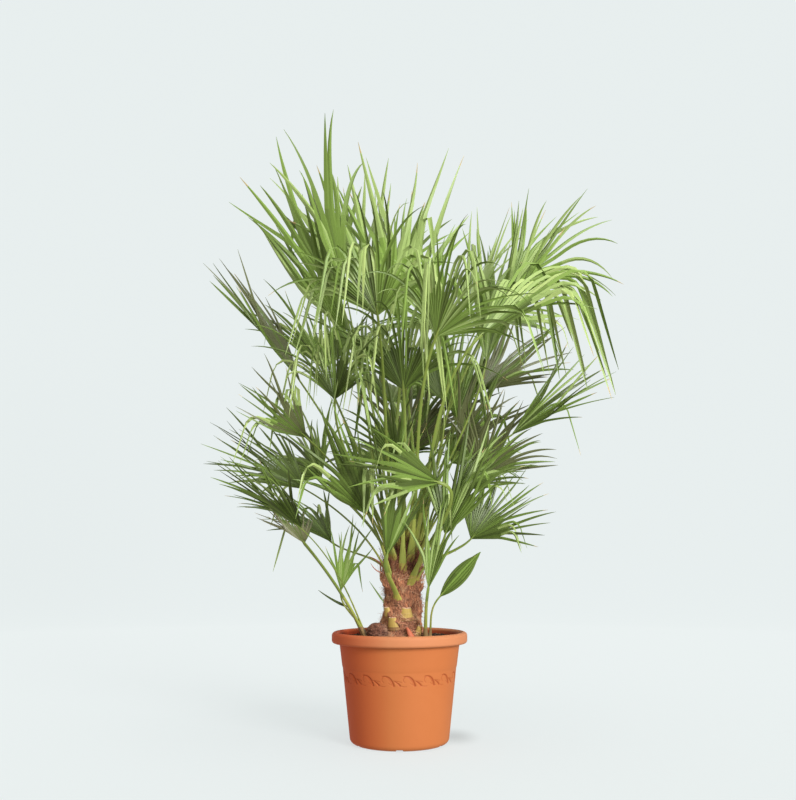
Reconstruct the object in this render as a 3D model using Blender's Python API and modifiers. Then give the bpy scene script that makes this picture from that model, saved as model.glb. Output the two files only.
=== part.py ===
"""A European fan palm in a terracotta-coloured nursery pot. Metres, +Z up, the pot's underside on Z = 0
and its axis on the Z axis. The front of the plant faces -Y."""

import math

import bpy
import bmesh
import numpy as np
from mathutils.bvhtree import BVHTree

# Pot
pot_height = 0.272
rim_radius = 0.1655
wall_top_radius = 0.1446
foot_radius = 0.1220
foot_rounding = 0.015
lip_height = 0.027
lip_width = 0.0185
lip_rounding = 0.0088
wall_thickness = 0.0036
wall_head_drop = 0.018
floor_thickness = 0.006
band_top = 0.1865
band_step = 0.0016
band_step_height = 0.002
drain_notches = 6
notch_width = 0.017
notch_height = 0.004
notch_reach = 0.030
turned_steps = 48

# Soil and the clear gap that neighbours keep
soil_level = 0.260
clear_gap = 0.0003

# Trunk: (height above the soil, radius), and the offset of its axis from the pot's at foot and head
trunk_profile = (
    (0.0, 0.0560), (0.022, 0.0510), (0.060, 0.0475), (0.110, 0.0452), (0.150, 0.0430), (0.185, 0.0390),
    (0.212, 0.0300), (0.230, 0.0170),
)
trunk_foot = (0.007, 0.000)
trunk_head = (0.011, 0.000)
trunk_sides = 22
boss_turns = 5
boss_rows = 9
boss_depth = 0.10

# Cut petiole stubs: (bearing in degrees, height above the soil, length, radius)
stubs = ((-119, 0.021, 0.030, 0.0115), (-79, 0.044, 0.030, 0.0130), (-142, 0.046, 0.028, 0.0095),
         (-42, 0.004, 0.026, 0.0085), (60, 0.040, 0.034, 0.0105), (150, 0.055, 0.032, 0.0100))
stub_outward = 0.30
stub_upward = 0.95
stub_sunk = 0.8
stub_taper = 0.85

# Offshoot: a round fibrous bud beside the trunk's foot
offshoot_place = (-0.053, -0.045)
offshoot_size = (0.025, 0.022, 0.021)
offshoot_raised = 0.72

# Fronds: the petiole, its seat sunk in the trunk, and how far it leans out at its foot
petiole_base_radius = 0.0048
petiole_end_radius = 0.0034
petiole_tip_share = 0.7
petiole_spans = 5
petiole_sunk = 0.012
seat_least_offset = 0.004
seat_lean = 0.35
root_lean = 0.45
foot_reach = 0.35
hub_reach = 0.30
upright_start = 0.006
blade_overlap = 0.022
tube_margin = 1.08

# Fronds: the blade, united from its hub to united_share of its radius and cut to the rib beyond, where each
# leaflet's shares of the free length and of the full width are given
blade_thickness = 0.0044
united_share = 0.38
free_shares = (0.0, 0.387, 0.742, 1.0)
widths = (0.0, 0.80, 0.46, 0.0)
cone_lift = 0.25
side_shortening = 0.22
length_least = 0.92
length_range = 0.12
bend_strength = 2.2
bend_least = 0.7
bend_range = 0.6
bend_growth = 1.3
bend_root = 0.6
fold_from = 0.36
fold_range = 0.28
fold_ease = 0.12
hang_outward = 0.35
path_steps = 40
palm_start = 0.06


def colour(name, rgb, roughness, metallic=0.0):
    material = bpy.data.materials.new(name)
    material.use_nodes = True
    shader = material.node_tree.nodes["Principled BSDF"]
    shader.inputs["Base Color"].default_value = (*rgb, 1.0)
    shader.inputs["Roughness"].default_value = roughness
    shader.inputs["Metallic"].default_value = metallic
    return material


def add_object(name, mesh, collection, material=None):
    obj = bpy.data.objects.new(name, mesh)
    collection.objects.link(obj)
    if material:
        mesh.materials.clear()
        mesh.materials.append(material)
    return obj


def mesh_of(name, points, faces, edges=()):
    mesh = bpy.data.meshes.new(name)
    mesh.from_pydata([tuple(p) for p in points], list(edges), [tuple(f) for f in faces])
    mesh.update()
    return mesh


def applied(obj):
    """The object's mesh with its modifiers applied and its caps welded."""
    graph = bpy.context.evaluated_depsgraph_get()
    mesh = bpy.data.meshes.new_from_object(obj.evaluated_get(graph))
    form = bmesh.new()
    form.from_mesh(mesh)
    bmesh.ops.remove_doubles(form, verts=form.verts, dist=1e-6)
    bmesh.ops.recalc_face_normals(form, faces=form.faces)
    form.to_mesh(mesh)
    form.free()
    return mesh


def discard(*objects):
    for obj in objects:
        bpy.data.objects.remove(obj)


def arc(centre, radius, start, end, count):
    """Points of a round stretch in the (radius, height) plane, angles in degrees."""
    angles = np.radians(np.linspace(start, end, count))
    return [(centre[0] + radius * math.cos(a), centre[1] + radius * math.sin(a)) for a in angles]


def turned(name, profile, collection, material):
    """A profile of (radius, height) points turned about the Z axis."""
    points = [(r, 0.0, z) for r, z in profile]
    mesh = mesh_of(name, points, [], [(k, k + 1) for k in range(len(points) - 1)])
    obj = add_object(name, mesh, collection, material)
    screw = obj.modifiers.new("turn", "SCREW")
    screw.axis = "Z"
    screw.steps = turned_steps
    screw.render_steps = turned_steps
    screw.use_merge_vertices = True
    screw.merge_threshold = 1e-5
    screw.use_normal_calculate = True
    return obj


def wall_radius(height):
    """The pot's outer radius on its straight wall."""
    low, high = foot_rounding, pot_height - lip_height - wall_head_drop
    return foot_radius + (wall_top_radius - foot_radius) * (height - low) / (high - low)


def build_pot(collection, cutters):
    lip_bottom = pot_height - lip_height
    wall_head = lip_bottom - wall_head_drop
    inner = rim_radius - lip_width
    outer_wall = [(0.0, 0.0), (0.06, 0.0), (foot_radius - foot_rounding, 0.0)]
    outer_wall += arc((foot_radius - foot_rounding, foot_rounding), foot_rounding, -72, 0, 5)
    outer_wall += [(wall_radius(band_top) - band_step, band_top),
                   (wall_radius(band_top), band_top + band_step_height),
                   (wall_radius(lip_bottom), lip_bottom)]
    lip = [(rim_radius - 0.004, lip_bottom + 0.001), (rim_radius, lip_bottom + 0.006)]
    lip += arc((rim_radius - lip_rounding, pot_height - lip_rounding), lip_rounding, 0, 90, 4)
    lip += arc((inner + lip_rounding, pot_height - lip_rounding), lip_rounding, 90, 150, 3)
    inner_wall = [(wall_radius(wall_head) - wall_thickness, wall_head),
                  (wall_radius(foot_rounding) - wall_thickness, floor_thickness), (0.0, floor_thickness)]
    profile = outer_wall + lip + inner_wall
    pot = turned("pot", profile[::-1], collection, colour("terracottaPlastic", (0.56, 0.17, 0.07), 0.55))
    for k in range(drain_notches):
        bearing = -math.pi / 2 + k * math.tau / drain_notches
        bpy.ops.mesh.primitive_cube_add(size=1.0)
        notch = bpy.context.object
        notch.name = f"drainNotchCutter{k + 1}"
        notch.dimensions = (notch_reach, notch_width, 2 * notch_height)
        notch.location = (foot_radius * math.cos(bearing), foot_radius * math.sin(bearing), 0.0)
        notch.rotation_euler.z = bearing
        notch.hide_render = True
        notch.display_type = "WIRE"
        for home in notch.users_collection:
            home.objects.unlink(notch)
        cutters.objects.link(notch)
        cut = pot.modifiers.new(f"notch{k + 1}", "BOOLEAN")
        cut.operation = "DIFFERENCE"
        cut.object = notch
    return pot


def build_soil(collection):
    gap = 2 * clear_gap
    wall_head = pot_height - lip_height - wall_head_drop
    bottom = wall_radius(foot_rounding) - wall_thickness - gap
    top = wall_radius(wall_head) - wall_thickness - gap
    profile = [(0.0, floor_thickness + gap), (bottom, floor_thickness + gap),
               (top, wall_head), (top, soil_level), (0.0, soil_level)]
    return turned("soil", profile[::-1], collection, colour("pottingSoil", (0.030, 0.018, 0.010), 0.95))


def trunk_axis(height):
    """The centre of the trunk at a height above the soil: a slight lean from foot to head."""
    share = height / trunk_profile[-1][0]
    return np.array(trunk_foot) + (np.array(trunk_head) - np.array(trunk_foot)) * share


def trunk_radius(height):
    heights, radii = zip(*trunk_profile)
    return float(np.interp(height, heights, radii))


def trunk_surface(extra):
    """Rings up the trunk, swollen where old leaf bases sit on a spiral, as (points, faces)."""
    heights = np.concatenate([np.linspace(0.0, trunk_profile[-2][0], 15), [trunk_profile[-1][0]]])
    rows = len(heights)
    points = []
    for row, height in enumerate(heights):
        centre = trunk_axis(height)
        fade = min(1.0, max(0.0, 1.0 - height / trunk_profile[-2][0])) ** 0.5
        for k in range(trunk_sides):
            angle = math.tau * k / trunk_sides
            wave = math.sin(boss_turns * angle + boss_rows * math.tau * height / trunk_profile[-1][0] / 2)
            swell = boss_depth * fade * (0.5 + 0.5 * wave) ** 2
            radius = trunk_radius(height) * (1 - boss_depth * fade / 2 + swell) + extra
            points.append((centre[0] + radius * math.cos(angle), centre[1] + radius * math.sin(angle),
                           soil_level + clear_gap + height + (extra if row == rows - 1 else 0.0)
                           - (extra if row == 0 else 0.0)))
    faces = []
    for low in range(0, (rows - 1) * trunk_sides, trunk_sides):
        for k in range(trunk_sides):
            one, two = low + k, low + (k + 1) % trunk_sides
            faces += [(one, two, two + trunk_sides), (one, two + trunk_sides, one + trunk_sides)]
    faces.append(tuple(range(trunk_sides))[::-1])
    faces.append(tuple((rows - 1) * trunk_sides + k for k in range(trunk_sides)))
    return points, faces


def rod(name, path, radii, collection):
    """A tapering round rod along a path, as a closed mesh object."""
    curve = bpy.data.curves.new(name, "CURVE")
    curve.dimensions = "3D"
    curve.bevel_depth = 1.0
    curve.bevel_resolution = 1
    curve.use_fill_caps = True
    spline = curve.splines.new("POLY")
    spline.points.add(len(path) - 1)
    for point, place, radius in zip(spline.points, path, radii):
        point.co = (*place, 1.0)
        point.radius = radius
    guide = add_object(name + "Guide", curve, collection)
    mesh = applied(guide)
    discard(guide)
    return add_object(name, mesh, collection)


def join_all(target, pieces_collection, solver="EXACT"):
    """Unites the target with every object of the collection, then removes those objects."""
    union = target.modifiers.new("join", "BOOLEAN")
    union.operation = "UNION"
    union.operand_type = "COLLECTION"
    union.collection = pieces_collection
    union.solver = solver
    mesh = applied(target)
    target.modifiers.clear()
    target.data = mesh
    discard(*pieces_collection.objects)
    return target


def cut_back(target, cutter, solver="EXACT"):
    """Cuts the target back to its clear gap from a neighbour."""
    trim = target.modifiers.new("trim", "BOOLEAN")
    trim.operation = "DIFFERENCE"
    trim.object = cutter
    trim.solver = solver
    mesh = applied(target)
    target.modifiers.clear()
    target.data = mesh


def build_trunk(collection, joined):
    material = colour("trunkFibre", (0.16, 0.075, 0.045), 0.9)
    trunk = add_object("trunk", mesh_of("trunk", *trunk_surface(0.0)), collection)
    for k, (bearing, height, length, radius) in enumerate(stubs):
        outward = np.array([math.cos(math.radians(bearing)), math.sin(math.radians(bearing)), 0.0])
        centre = np.array([*trunk_axis(height), soil_level + height])
        root = centre + outward * (trunk_radius(height) - stub_sunk * radius)
        direction = outward * stub_outward + np.array([0, 0, stub_upward])
        path = [root + direction * length * share for share in (0.0, 0.5, 1.0)]
        rod(f"stub{k + 1}", path, (radius, radius, radius * stub_taper), joined)
    join_all(trunk, joined)
    trunk.data.materials.clear()
    trunk.data.materials.append(material)
    return trunk


def build_offshoot(collection, trunk_cutter):
    bpy.ops.mesh.primitive_uv_sphere_add(segments=14, ring_count=9, radius=1.0)
    bud = bpy.context.object
    bud.name = "offshootBud"
    bud.scale = offshoot_size
    bud.location = (*offshoot_place, soil_level + clear_gap + offshoot_size[2] * offshoot_raised)
    bpy.ops.object.transform_apply(location=True, rotation=True, scale=True)
    for home in bud.users_collection:
        home.objects.unlink(bud)
    collection.objects.link(bud)
    bmesh_bud = bmesh.new()
    bmesh_bud.from_mesh(bud.data)
    whole_bud = bmesh_bud.verts[:] + bmesh_bud.edges[:] + bmesh_bud.faces[:]
    cut = bmesh.ops.bisect_plane(bmesh_bud, geom=whole_bud, plane_co=(0, 0, soil_level + clear_gap),
                                 plane_no=(0, 0, -1), clear_outer=True)
    rim = [e for e in cut["geom_cut"] if isinstance(e, bmesh.types.BMEdge)]
    bmesh.ops.contextual_create(bmesh_bud, geom=rim)
    bmesh_bud.to_mesh(bud.data)
    bmesh_bud.free()
    cut_back(bud, trunk_cutter)
    bud.data.materials.clear()
    bud.data.materials.append(colour("budFibre", (0.10, 0.045, 0.028), 0.95))
    return bud


# Each frond: where its hub is, the bearing, toward and turn angles of its blade in degrees, the blade's
# radius and spread, its leaflets, how far they droop and the share that fold over, its own united share where
# it isn't the common one, and its seat on the trunk (bearing, height above the soil) or its root in the soil
fronds = [
    dict(name="crownBack", hub=(-0.006, 0.118, 1.067), bearing=-4, toward=-11, turn=17,
         radius=0.5, spread=85, leaflets=9, droop=0.06, fold=0.13, seat=(42, 0.228)),
    dict(name="upperLeftTall", hub=(-0.159, 0.195, 1.147), bearing=-20, toward=-18, turn=15,
         radius=0.51, spread=48, leaflets=6, droop=0.07, fold=0.1, seat=(200, 0.225)),
    dict(name="upperBackLeft", hub=(-0.078, 0.203, 1.144), bearing=-7, toward=-21, turn=-17,
         radius=0.42, spread=52, leaflets=6, droop=0.04, fold=0, seat=(98, 0.215)),
    dict(name="frontLeftFacing", hub=(-0.049, -0.201, 0.993), bearing=-8, toward=22, turn=172,
         radius=0.31, spread=120, leaflets=11, droop=0.45, fold=0.65,
         united=0.32, seat=(-126, 0.205)),
    dict(name="upperLeftWide", hub=(-0.131, 0.050, 1.012), bearing=-30, toward=10, turn=7,
         radius=0.45, spread=39, leaflets=6, droop=0.09, fold=0.1, seat=(142, 0.215)),
    dict(name="leftFolded", hub=(-0.248, 0.048, 0.893), bearing=-35, toward=3, turn=67,
         radius=0.4, spread=53, leaflets=8, droop=0.05, fold=0, seat=(-209, 0.172)),
    dict(name="leftInner", hub=(-0.151, -0.106, 0.822), bearing=5, toward=16, turn=-35,
         radius=0.3, spread=114, leaflets=10, droop=0.39, fold=0.5,
         united=0.26, seat=(-129, 0.175)),
    dict(name="leftMid", hub=(-0.216, -0.118, 0.731), bearing=-48, toward=2, turn=24,
         radius=0.23, spread=76, leaflets=8, droop=0.04, fold=0.48, seat=(-156, 0.175)),
    dict(name="lowerLeftA", hub=(-0.233, 0.008, 0.621), bearing=-61, toward=2, turn=60,
         radius=0.29, spread=108, leaflets=10, droop=0.08, fold=0, seat=(-177, 0.135)),
    dict(name="lowerLeftB", hub=(-0.226, -0.143, 0.519), bearing=-48, toward=20, turn=115,
         radius=0.26, spread=90, leaflets=9, droop=0.12, fold=0, root=(-0.082, -0.020)),
    dict(name="lowerLeftC", hub=(-0.175, 0.120, 0.493), bearing=-53, toward=-11, turn=68,
         radius=0.3, spread=105, leaflets=9, droop=0.18, fold=0.08, seat=(153, 0.135)),
    dict(name="lowMidLeft", hub=(-0.073, -0.083, 0.552), bearing=-28, toward=27, turn=18,
         radius=0.34, spread=61, leaflets=7, droop=0.07, fold=0.01, seat=(-133, 0.120)),
    dict(name="lowFront", hub=(-0.031, -0.121, 0.454), bearing=12, toward=-3, turn=23,
         radius=0.4, spread=45, leaflets=7, droop=0.15, fold=0,
         united=0.24, seat=(-108, 0.080)),
    dict(name="centreLeft", hub=(0.090, -0.187, 0.621), bearing=-76, toward=7, turn=23,
         radius=0.26, spread=69, leaflets=8, droop=0.05, fold=0.23, seat=(-60, 0.120)),
    dict(name="centreFront", hub=(0.009, -0.121, 0.842), bearing=-5, toward=21, turn=161,
         radius=0.34, spread=120, leaflets=10, droop=0.61, fold=0.6,
         united=0.26, seat=(-93, 0.152)),
    dict(name="centreBack", hub=(0.020, 0.245, 0.736), bearing=22, toward=-6, turn=-6,
         radius=0.34, spread=98, leaflets=8, droop=0.15, fold=0.06, seat=(64, 0.120)),
    dict(name="upperRightA", hub=(0.204, -0.086, 0.913), bearing=10, toward=0, turn=-33,
         radius=0.41, spread=52, leaflets=8, droop=0.12, fold=0.34, seat=(-23, 0.213)),
    dict(name="upperRightB", hub=(0.178, 0.185, 1.100), bearing=21, toward=-22, turn=-51,
         radius=0.38, spread=56, leaflets=8, droop=0.04, fold=0.17, seat=(27, 0.206)),
    dict(name="rightPale", hub=(0.281, 0.066, 1.130), bearing=54, toward=9, turn=-15,
         radius=0.31, spread=103, leaflets=10, droop=0.64, fold=0.6, seat=(1, 0.195)),
    dict(name="rightMid", hub=(0.208, 0.102, 0.880), bearing=52, toward=1, turn=-32,
         radius=0.29, spread=80, leaflets=8, droop=0.13, fold=0.15, seat=(23, 0.189)),
    dict(name="rightMidLow", hub=(0.270, -0.043, 0.748), bearing=56, toward=18, turn=-59,
         radius=0.3, spread=70, leaflets=8, droop=0.04, fold=0, seat=(0, 0.175)),
    dict(name="centreRight", hub=(0.197, 0.015, 0.651), bearing=27, toward=3, turn=9,
         radius=0.25, spread=102, leaflets=9, droop=0.21, fold=0, seat=(0, 0.151)),
    dict(name="rightLowA", hub=(0.133, -0.100, 0.611), bearing=55, toward=-7, turn=-22,
         radius=0.23, spread=74, leaflets=8, droop=0.16, fold=0, seat=(-39, 0.135)),
    dict(name="rightLowB", hub=(0.174, -0.004, 0.498), bearing=43, toward=-4, turn=-30,
         radius=0.24, spread=112, leaflets=10, droop=0.04, fold=0.2, seat=(27, 0.135)),
    dict(name="centreRightLow", hub=(0.107, -0.097, 0.506), bearing=14, toward=9, turn=-21,
         radius=0.3, spread=71, leaflets=8, droop=0.12, fold=0.11, seat=(-35, 0.121)),
    dict(name="suckerRight", hub=(0.067, -0.103, 0.379), bearing=9, toward=7, turn=-17,
         radius=0.24, spread=38, leaflets=6, droop=0.04, fold=0, root=(0.062, -0.030)),
    dict(name="midCentre", hub=(0.094, -0.012, 1.007), bearing=-23, toward=24, turn=190,
         radius=0.28, spread=125, leaflets=10, droop=0.39, fold=0.32,
         united=0.26, seat=(-47, 0.225)),
    dict(name="frontRight", hub=(0.077, -0.300, 0.923), bearing=23, toward=38, turn=173,
         radius=0.31, spread=120, leaflets=10, droop=0.59, fold=0.55,
         united=0.26, seat=(-63, 0.175)),
    dict(name="backHigh", hub=(-0.012, 0.266, 1.209), bearing=-18, toward=-36, turn=6,
         radius=0.33, spread=110, leaflets=9, droop=0.14, fold=0, seat=(120, 0.150)),
    dict(name="backRight", hub=(0.258, 0.250, 1.093), bearing=35, toward=-38, turn=5,
         radius=0.34, spread=108, leaflets=9, droop=0.19, fold=0.12, seat=(66, 0.172)),
    dict(name="backLeft", hub=(-0.201, 0.208, 0.956), bearing=-18, toward=-28, turn=30,
         radius=0.31, spread=103, leaflets=8, droop=0.2, fold=0, seat=(134, 0.195)),
    dict(name="backMid", hub=(-0.021, 0.258, 0.873), bearing=2, toward=-60, turn=9,
         radius=0.41, spread=125, leaflets=8, droop=0.3, fold=0, seat=(80, 0.200)),
    dict(name="backLow", hub=(-0.031, 0.239, 0.693), bearing=-4, toward=-52, turn=-2,
         radius=0.29, spread=125, leaflets=8, droop=0.3, fold=0, seat=(104, 0.178)),
    dict(name="backLowLeft", hub=(-0.211, 0.250, 0.671), bearing=-43, toward=-44, turn=-6,
         radius=0.31, spread=106, leaflets=8, droop=0.26, fold=0, seat=(115, 0.120)),
    dict(name="backLowRight", hub=(0.138, 0.205, 0.705), bearing=52, toward=-37, turn=-16,
         radius=0.25, spread=110, leaflets=8, droop=0.25, fold=0, seat=(29, 0.159)),
    dict(name="centreRise", hub=(0.147, 0.150, 0.814), bearing=8, toward=-15, turn=-16,
         radius=0.34, spread=64, leaflets=7, droop=0.04, fold=0, seat=(55, 0.199)),
    dict(name="suckerFolded", hub=(0.092, -0.140, 0.362), bearing=42, toward=4, turn=-20,
         radius=0.14, spread=26, leaflets=4, droop=0.05, fold=0,
         united=0.8, root=(0.072, -0.060)),
    dict(name="innerLeft", hub=(-0.091, -0.002, 0.931), bearing=-7, toward=-41, turn=27,
         radius=0.27, spread=96, leaflets=7, droop=0.15, fold=0.2, seat=(-196, 0.188)),
    dict(name="innerRight", hub=(0.102, -0.074, 0.826), bearing=-10, toward=-24, turn=-40,
         radius=0.28, spread=71, leaflets=6, droop=0.12, fold=0.2, seat=(10, 0.215)),
    dict(name="midRight", hub=(0.143, 0.040, 0.715), bearing=27, toward=-2, turn=18,
         radius=0.28, spread=58, leaflets=6, droop=0.12, fold=0.01, seat=(15, 0.170)),
    dict(name="midLeft", hub=(-0.007, -0.029, 0.680), bearing=-13, toward=15, turn=9,
         radius=0.22, spread=64, leaflets=6, droop=0.14, fold=0.06, seat=(-168, 0.172)),
    dict(name="suckerLeft", hub=(-0.142, -0.030, 0.372), bearing=8, toward=-8, turn=9,
         radius=0.2, spread=48, leaflets=4, droop=0.05, fold=0, root=(-0.078, -0.004)),
    dict(name="rightHanging", hub=(0.180, -0.215, 0.945), bearing=46, toward=-5, turn=-39,
         radius=0.41, spread=66, leaflets=6, droop=0.52, fold=0.9, seat=(-40, 0.192)),
    dict(name="upperLeftFront", hub=(-0.133, -0.022, 1.104), bearing=-13, toward=5, turn=28,
         radius=0.48, spread=28, leaflets=5, droop=0.3, fold=0, seat=(-183, 0.215)),
    dict(name="suckerOlive", hub=(-0.225, -0.079, 0.486), bearing=-42, toward=-25, turn=62,
         radius=0.16, spread=105, leaflets=7, droop=0.04, fold=0, root=(-0.084, -0.034)),
]


def frond_axes(bearing, toward, turn):
    """Unit vectors of a blade: along its middle leaflet, across it, and out of its upper face.

    bearing is the angle from straight up toward +X, toward the angle out to the front, and turn the blade's
    rotation about its middle leaflet, all in degrees; at turn 0 the upper face looks to the front."""
    bearing, toward, turn = map(math.radians, (bearing, toward, turn))
    along = np.array([math.sin(bearing) * math.cos(toward), -math.sin(toward),
                      math.cos(bearing) * math.cos(toward)])
    front = np.array([0.0, -1.0, 0.0])
    front = front - front.dot(along) * along
    front /= np.linalg.norm(front)
    face = math.cos(turn) * front + math.sin(turn) * np.cross(along, front)
    return along, np.cross(face, along), face


def chance(*keys):
    """A repeatable number in 0..1 for a frond and a leaflet."""
    value = math.sin(sum(key * weight for key, weight in zip(keys, (12.9898, 78.233, 37.719)))) * 43758.5453
    return value - math.floor(value)


def leaflet_path(frond, axes, number, angle, leaflet, places):
    """Points, side vectors and face normals at the given shares of a leaflet's length.

    A leaflet leaves the hub at its angle in the blade and bends down under its weight, and some leaflets fold
    over at one place and hang."""
    along, across, face = axes
    share = abs(angle) / math.radians(frond["spread"] / 2)
    length = frond["radius"] * (1 - side_shortening * share ** 2)
    length *= length_least + length_range * chance(number, leaflet, 1)
    start = math.cos(angle) * along + math.sin(angle) * across + cone_lift * abs(math.sin(angle)) * face
    start /= np.linalg.norm(start)
    steps = (np.arange(path_steps) + 0.5) / path_steps
    weight = frond["droop"] * (bend_least + bend_range * chance(number, leaflet, 2)) * bend_strength
    root = frond.get("united", united_share) * bend_root
    sag = weight * np.clip((steps - root) / (1 - root), 0, 1) ** bend_growth
    directions = start + sag[:, None] * np.array([0.0, 0.0, -1.0])
    directions /= np.linalg.norm(directions, axis=1)[:, None]
    if chance(number, leaflet, 3) < frond["fold"]:
        fold = fold_from + fold_range * chance(number, leaflet, 4)
        hang = start * np.array([hang_outward, hang_outward, 0.0]) + np.array([0.0, 0.0, -1.0])
        hang /= np.linalg.norm(hang)
        over = np.clip((steps - fold) / fold_ease, 0, 1)[:, None]
        directions = directions * (1 - over) + hang * over
        directions /= np.linalg.norm(directions, axis=1)[:, None]
    path = np.vstack([frond["hub"], frond["hub"] + np.cumsum(directions * length / path_steps, axis=0)])
    edges = np.arange(path_steps + 1) / path_steps
    points = np.stack([np.interp(places, edges, path[:, k]) for k in range(3)], axis=-1)
    heading = np.stack([np.interp(places, steps, directions[:, k]) for k in range(3)], axis=-1)
    heading /= np.linalg.norm(heading, axis=1)[:, None]
    side = -math.sin(angle) * along + math.cos(angle) * across
    side = side - (heading @ side)[:, None] * heading
    side /= np.linalg.norm(side, axis=1)[:, None]
    return points, side, np.cross(side, heading)


def frond_shape(frond, number):
    """The blade's named points: its hub, the notch points between leaflets, and each leaflet's outline."""
    axes = frond_axes(frond["bearing"], frond["toward"], frond["turn"])
    count = frond["leaflets"]
    pitch = math.radians(frond["spread"]) / count
    united = frond.get("united", united_share)
    stations = united + (1 - united) * np.array(free_shares)
    notches = []
    for k in range(count + 1):
        angle = (k - count / 2) * pitch
        near = [j for j in (k - 1, k) if 0 <= j < count]
        spots = [leaflet_path(frond, axes, number, angle, j, [united]) for j in near]
        notches.append((np.mean([s[0][0] for s in spots], axis=0), np.mean([s[2][0] for s in spots], axis=0)))
    leaflets = []
    half = 0.5 * pitch * united * frond["radius"]
    for k in range(count):
        angle = (k + 0.5 - count / 2) * pitch
        points, side, normal = leaflet_path(frond, axes, number, angle, k, stations)
        left = points - side * half * np.array(widths)[:, None]
        right = points + side * half * np.array(widths)[:, None]
        leaflets.append((left, right, normal))
    return {"axes": axes, "hub": frond["hub"], "notches": notches, "leaflets": leaflets, "half": half}


def petiole_path(frond, axes):
    """From the trunk's head, or from the soil, up and out to the hub and a little into the blade."""
    along = axes[0]
    hub = np.array(frond["hub"])
    if "root" in frond:
        start = np.array([*frond["root"], soil_level + clear_gap])
        outward = (hub - start) * (1, 1, 0)
        outward /= np.linalg.norm(outward)
        rise = outward * root_lean + np.array([0.0, 0.0, 1.0])
        first = start + np.array([0.0, 0.0, upright_start])
    else:
        bearing, height = math.radians(frond["seat"][0]), frond["seat"][1]
        outward = np.array([math.cos(bearing), math.sin(bearing), 0.0])
        start = np.array([*trunk_axis(height), soil_level + height])
        start = start + outward * max(trunk_radius(height) - petiole_sunk, seat_least_offset)
        rise = outward * seat_lean + np.array([0.0, 0.0, 1.0])
        first = start + rise / np.linalg.norm(rise) * upright_start
    rise /= np.linalg.norm(rise)
    reach = np.linalg.norm(hub - start)
    corners = (start, start + rise * reach * foot_reach, hub - along * reach * hub_reach, hub)
    shares = np.linspace(0, 1, petiole_spans + 1)[:, None]
    curve = ((1 - shares) ** 3 * corners[0] + 3 * shares * (1 - shares) ** 2 * corners[1]
             + 3 * shares ** 2 * (1 - shares) * corners[2] + shares ** 3 * corners[3])
    return np.vstack([start, first, curve[1:], hub + along * blade_overlap])


def thick_sheet(rows_left, rows_right, normals, half):
    """A closed strip between two edges, thickened both ways: a leaflet with its clearance."""
    rows = len(rows_left)
    points = np.vstack([rows_left + normals * half, rows_right + normals * half,
                        rows_left - normals * half, rows_right - normals * half])
    a, b, c, d = (np.arange(rows) + k * rows for k in range(4))
    faces = []
    for k in range(rows - 1):
        for one, two in ((a, b), (d, c), (c, a), (b, d)):
            faces.append((one[k], two[k], two[k + 1], one[k + 1]))
    return [tuple(p) for p in points], [tuple(int(v) for v in f) for f in faces]


def tube_sheet(path, radii):
    """Six-sided tube round a path: a petiole with its clearance."""
    points, faces = [], []
    for k, place in enumerate(path):
        ahead = path[min(k + 1, len(path) - 1)] - path[max(k - 1, 0)]
        ahead = ahead / np.linalg.norm(ahead)
        one = np.cross(ahead, (0.30, 0.94, 0.10))
        one /= np.linalg.norm(one)
        two = np.cross(ahead, one)
        for turn in range(6):
            spot = math.cos(turn * math.tau / 6) * one + math.sin(turn * math.tau / 6) * two
            points.append(tuple(place + spot * radii[k] * tube_margin))
    for k in range(len(path) - 1):
        for turn in range(6):
            near, far = turn, (turn + 1) % 6
            faces.append((k * 6 + near, k * 6 + far, k * 6 + 6 + far, k * 6 + 6 + near))
    return points, faces


def outside_trunk(path):
    """The path from where it leaves the trunk's skin, looked for in small steps."""
    if path[0][2] < soil_level + 2 * clear_gap:
        return path
    for here, there in zip(range(len(path)), range(1, len(path))):
        for share in np.linspace(0, 1, 21):
            spot = path[here] + (path[there] - path[here]) * share
            height = spot[2] - soil_level
            off_axis = np.hypot(*(spot[:2] - trunk_axis(height)))
            if height > trunk_profile[-1][0] or off_axis > trunk_radius(height):
                return np.vstack([spot, path[there:]])
    return path[-2:]


def petiole_radii(count):
    taper = np.linspace(petiole_base_radius, petiole_end_radius, count - 1)
    return np.append(taper, petiole_end_radius * petiole_tip_share)


def meets(points, faces, obstacles):
    tree = BVHTree.FromPolygons(points, faces)
    return any(tree.overlap(other) for other in obstacles)


def frond_space(shape, frond, obstacles):
    """Which leaflets keep their free part: those that, with their clearance, touch no limb or earlier frond.

    Returns (free, whole, trees): one flag per leaflet for its free part and one for its united part."""
    margin = blade_thickness / 2 + 2 * clear_gap
    free, whole, trees = [], [], []
    for k, (left, right, normal) in enumerate(shape["leaflets"]):
        (start, start_normal), (end, end_normal) = shape["notches"][k:k + 2]
        hub = shape["hub"]
        across = end - start
        across /= np.linalg.norm(across)
        near = hub + ((start + end) / 2 - hub) * palm_start
        palm = thick_sheet(np.array([near - across * margin, start - across * margin]),
                           np.array([near + across * margin, end + across * margin]),
                           np.array([start_normal, start_normal]), margin)
        blade = thick_sheet(np.vstack([start, left[1:]]) - across * 2 * clear_gap,
                            np.vstack([end, right[1:]]) + across * 2 * clear_gap,
                            np.vstack([start_normal, normal[1:]]), margin)
        whole.append(not meets(*palm, obstacles))
        free.append(whole[-1] and not meets(*blade, obstacles))
        if whole[-1]:
            trees.append(BVHTree.FromPolygons(*palm))
        if free[-1]:
            trees.append(BVHTree.FromPolygons(*blade))
    return free, whole, trees


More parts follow.
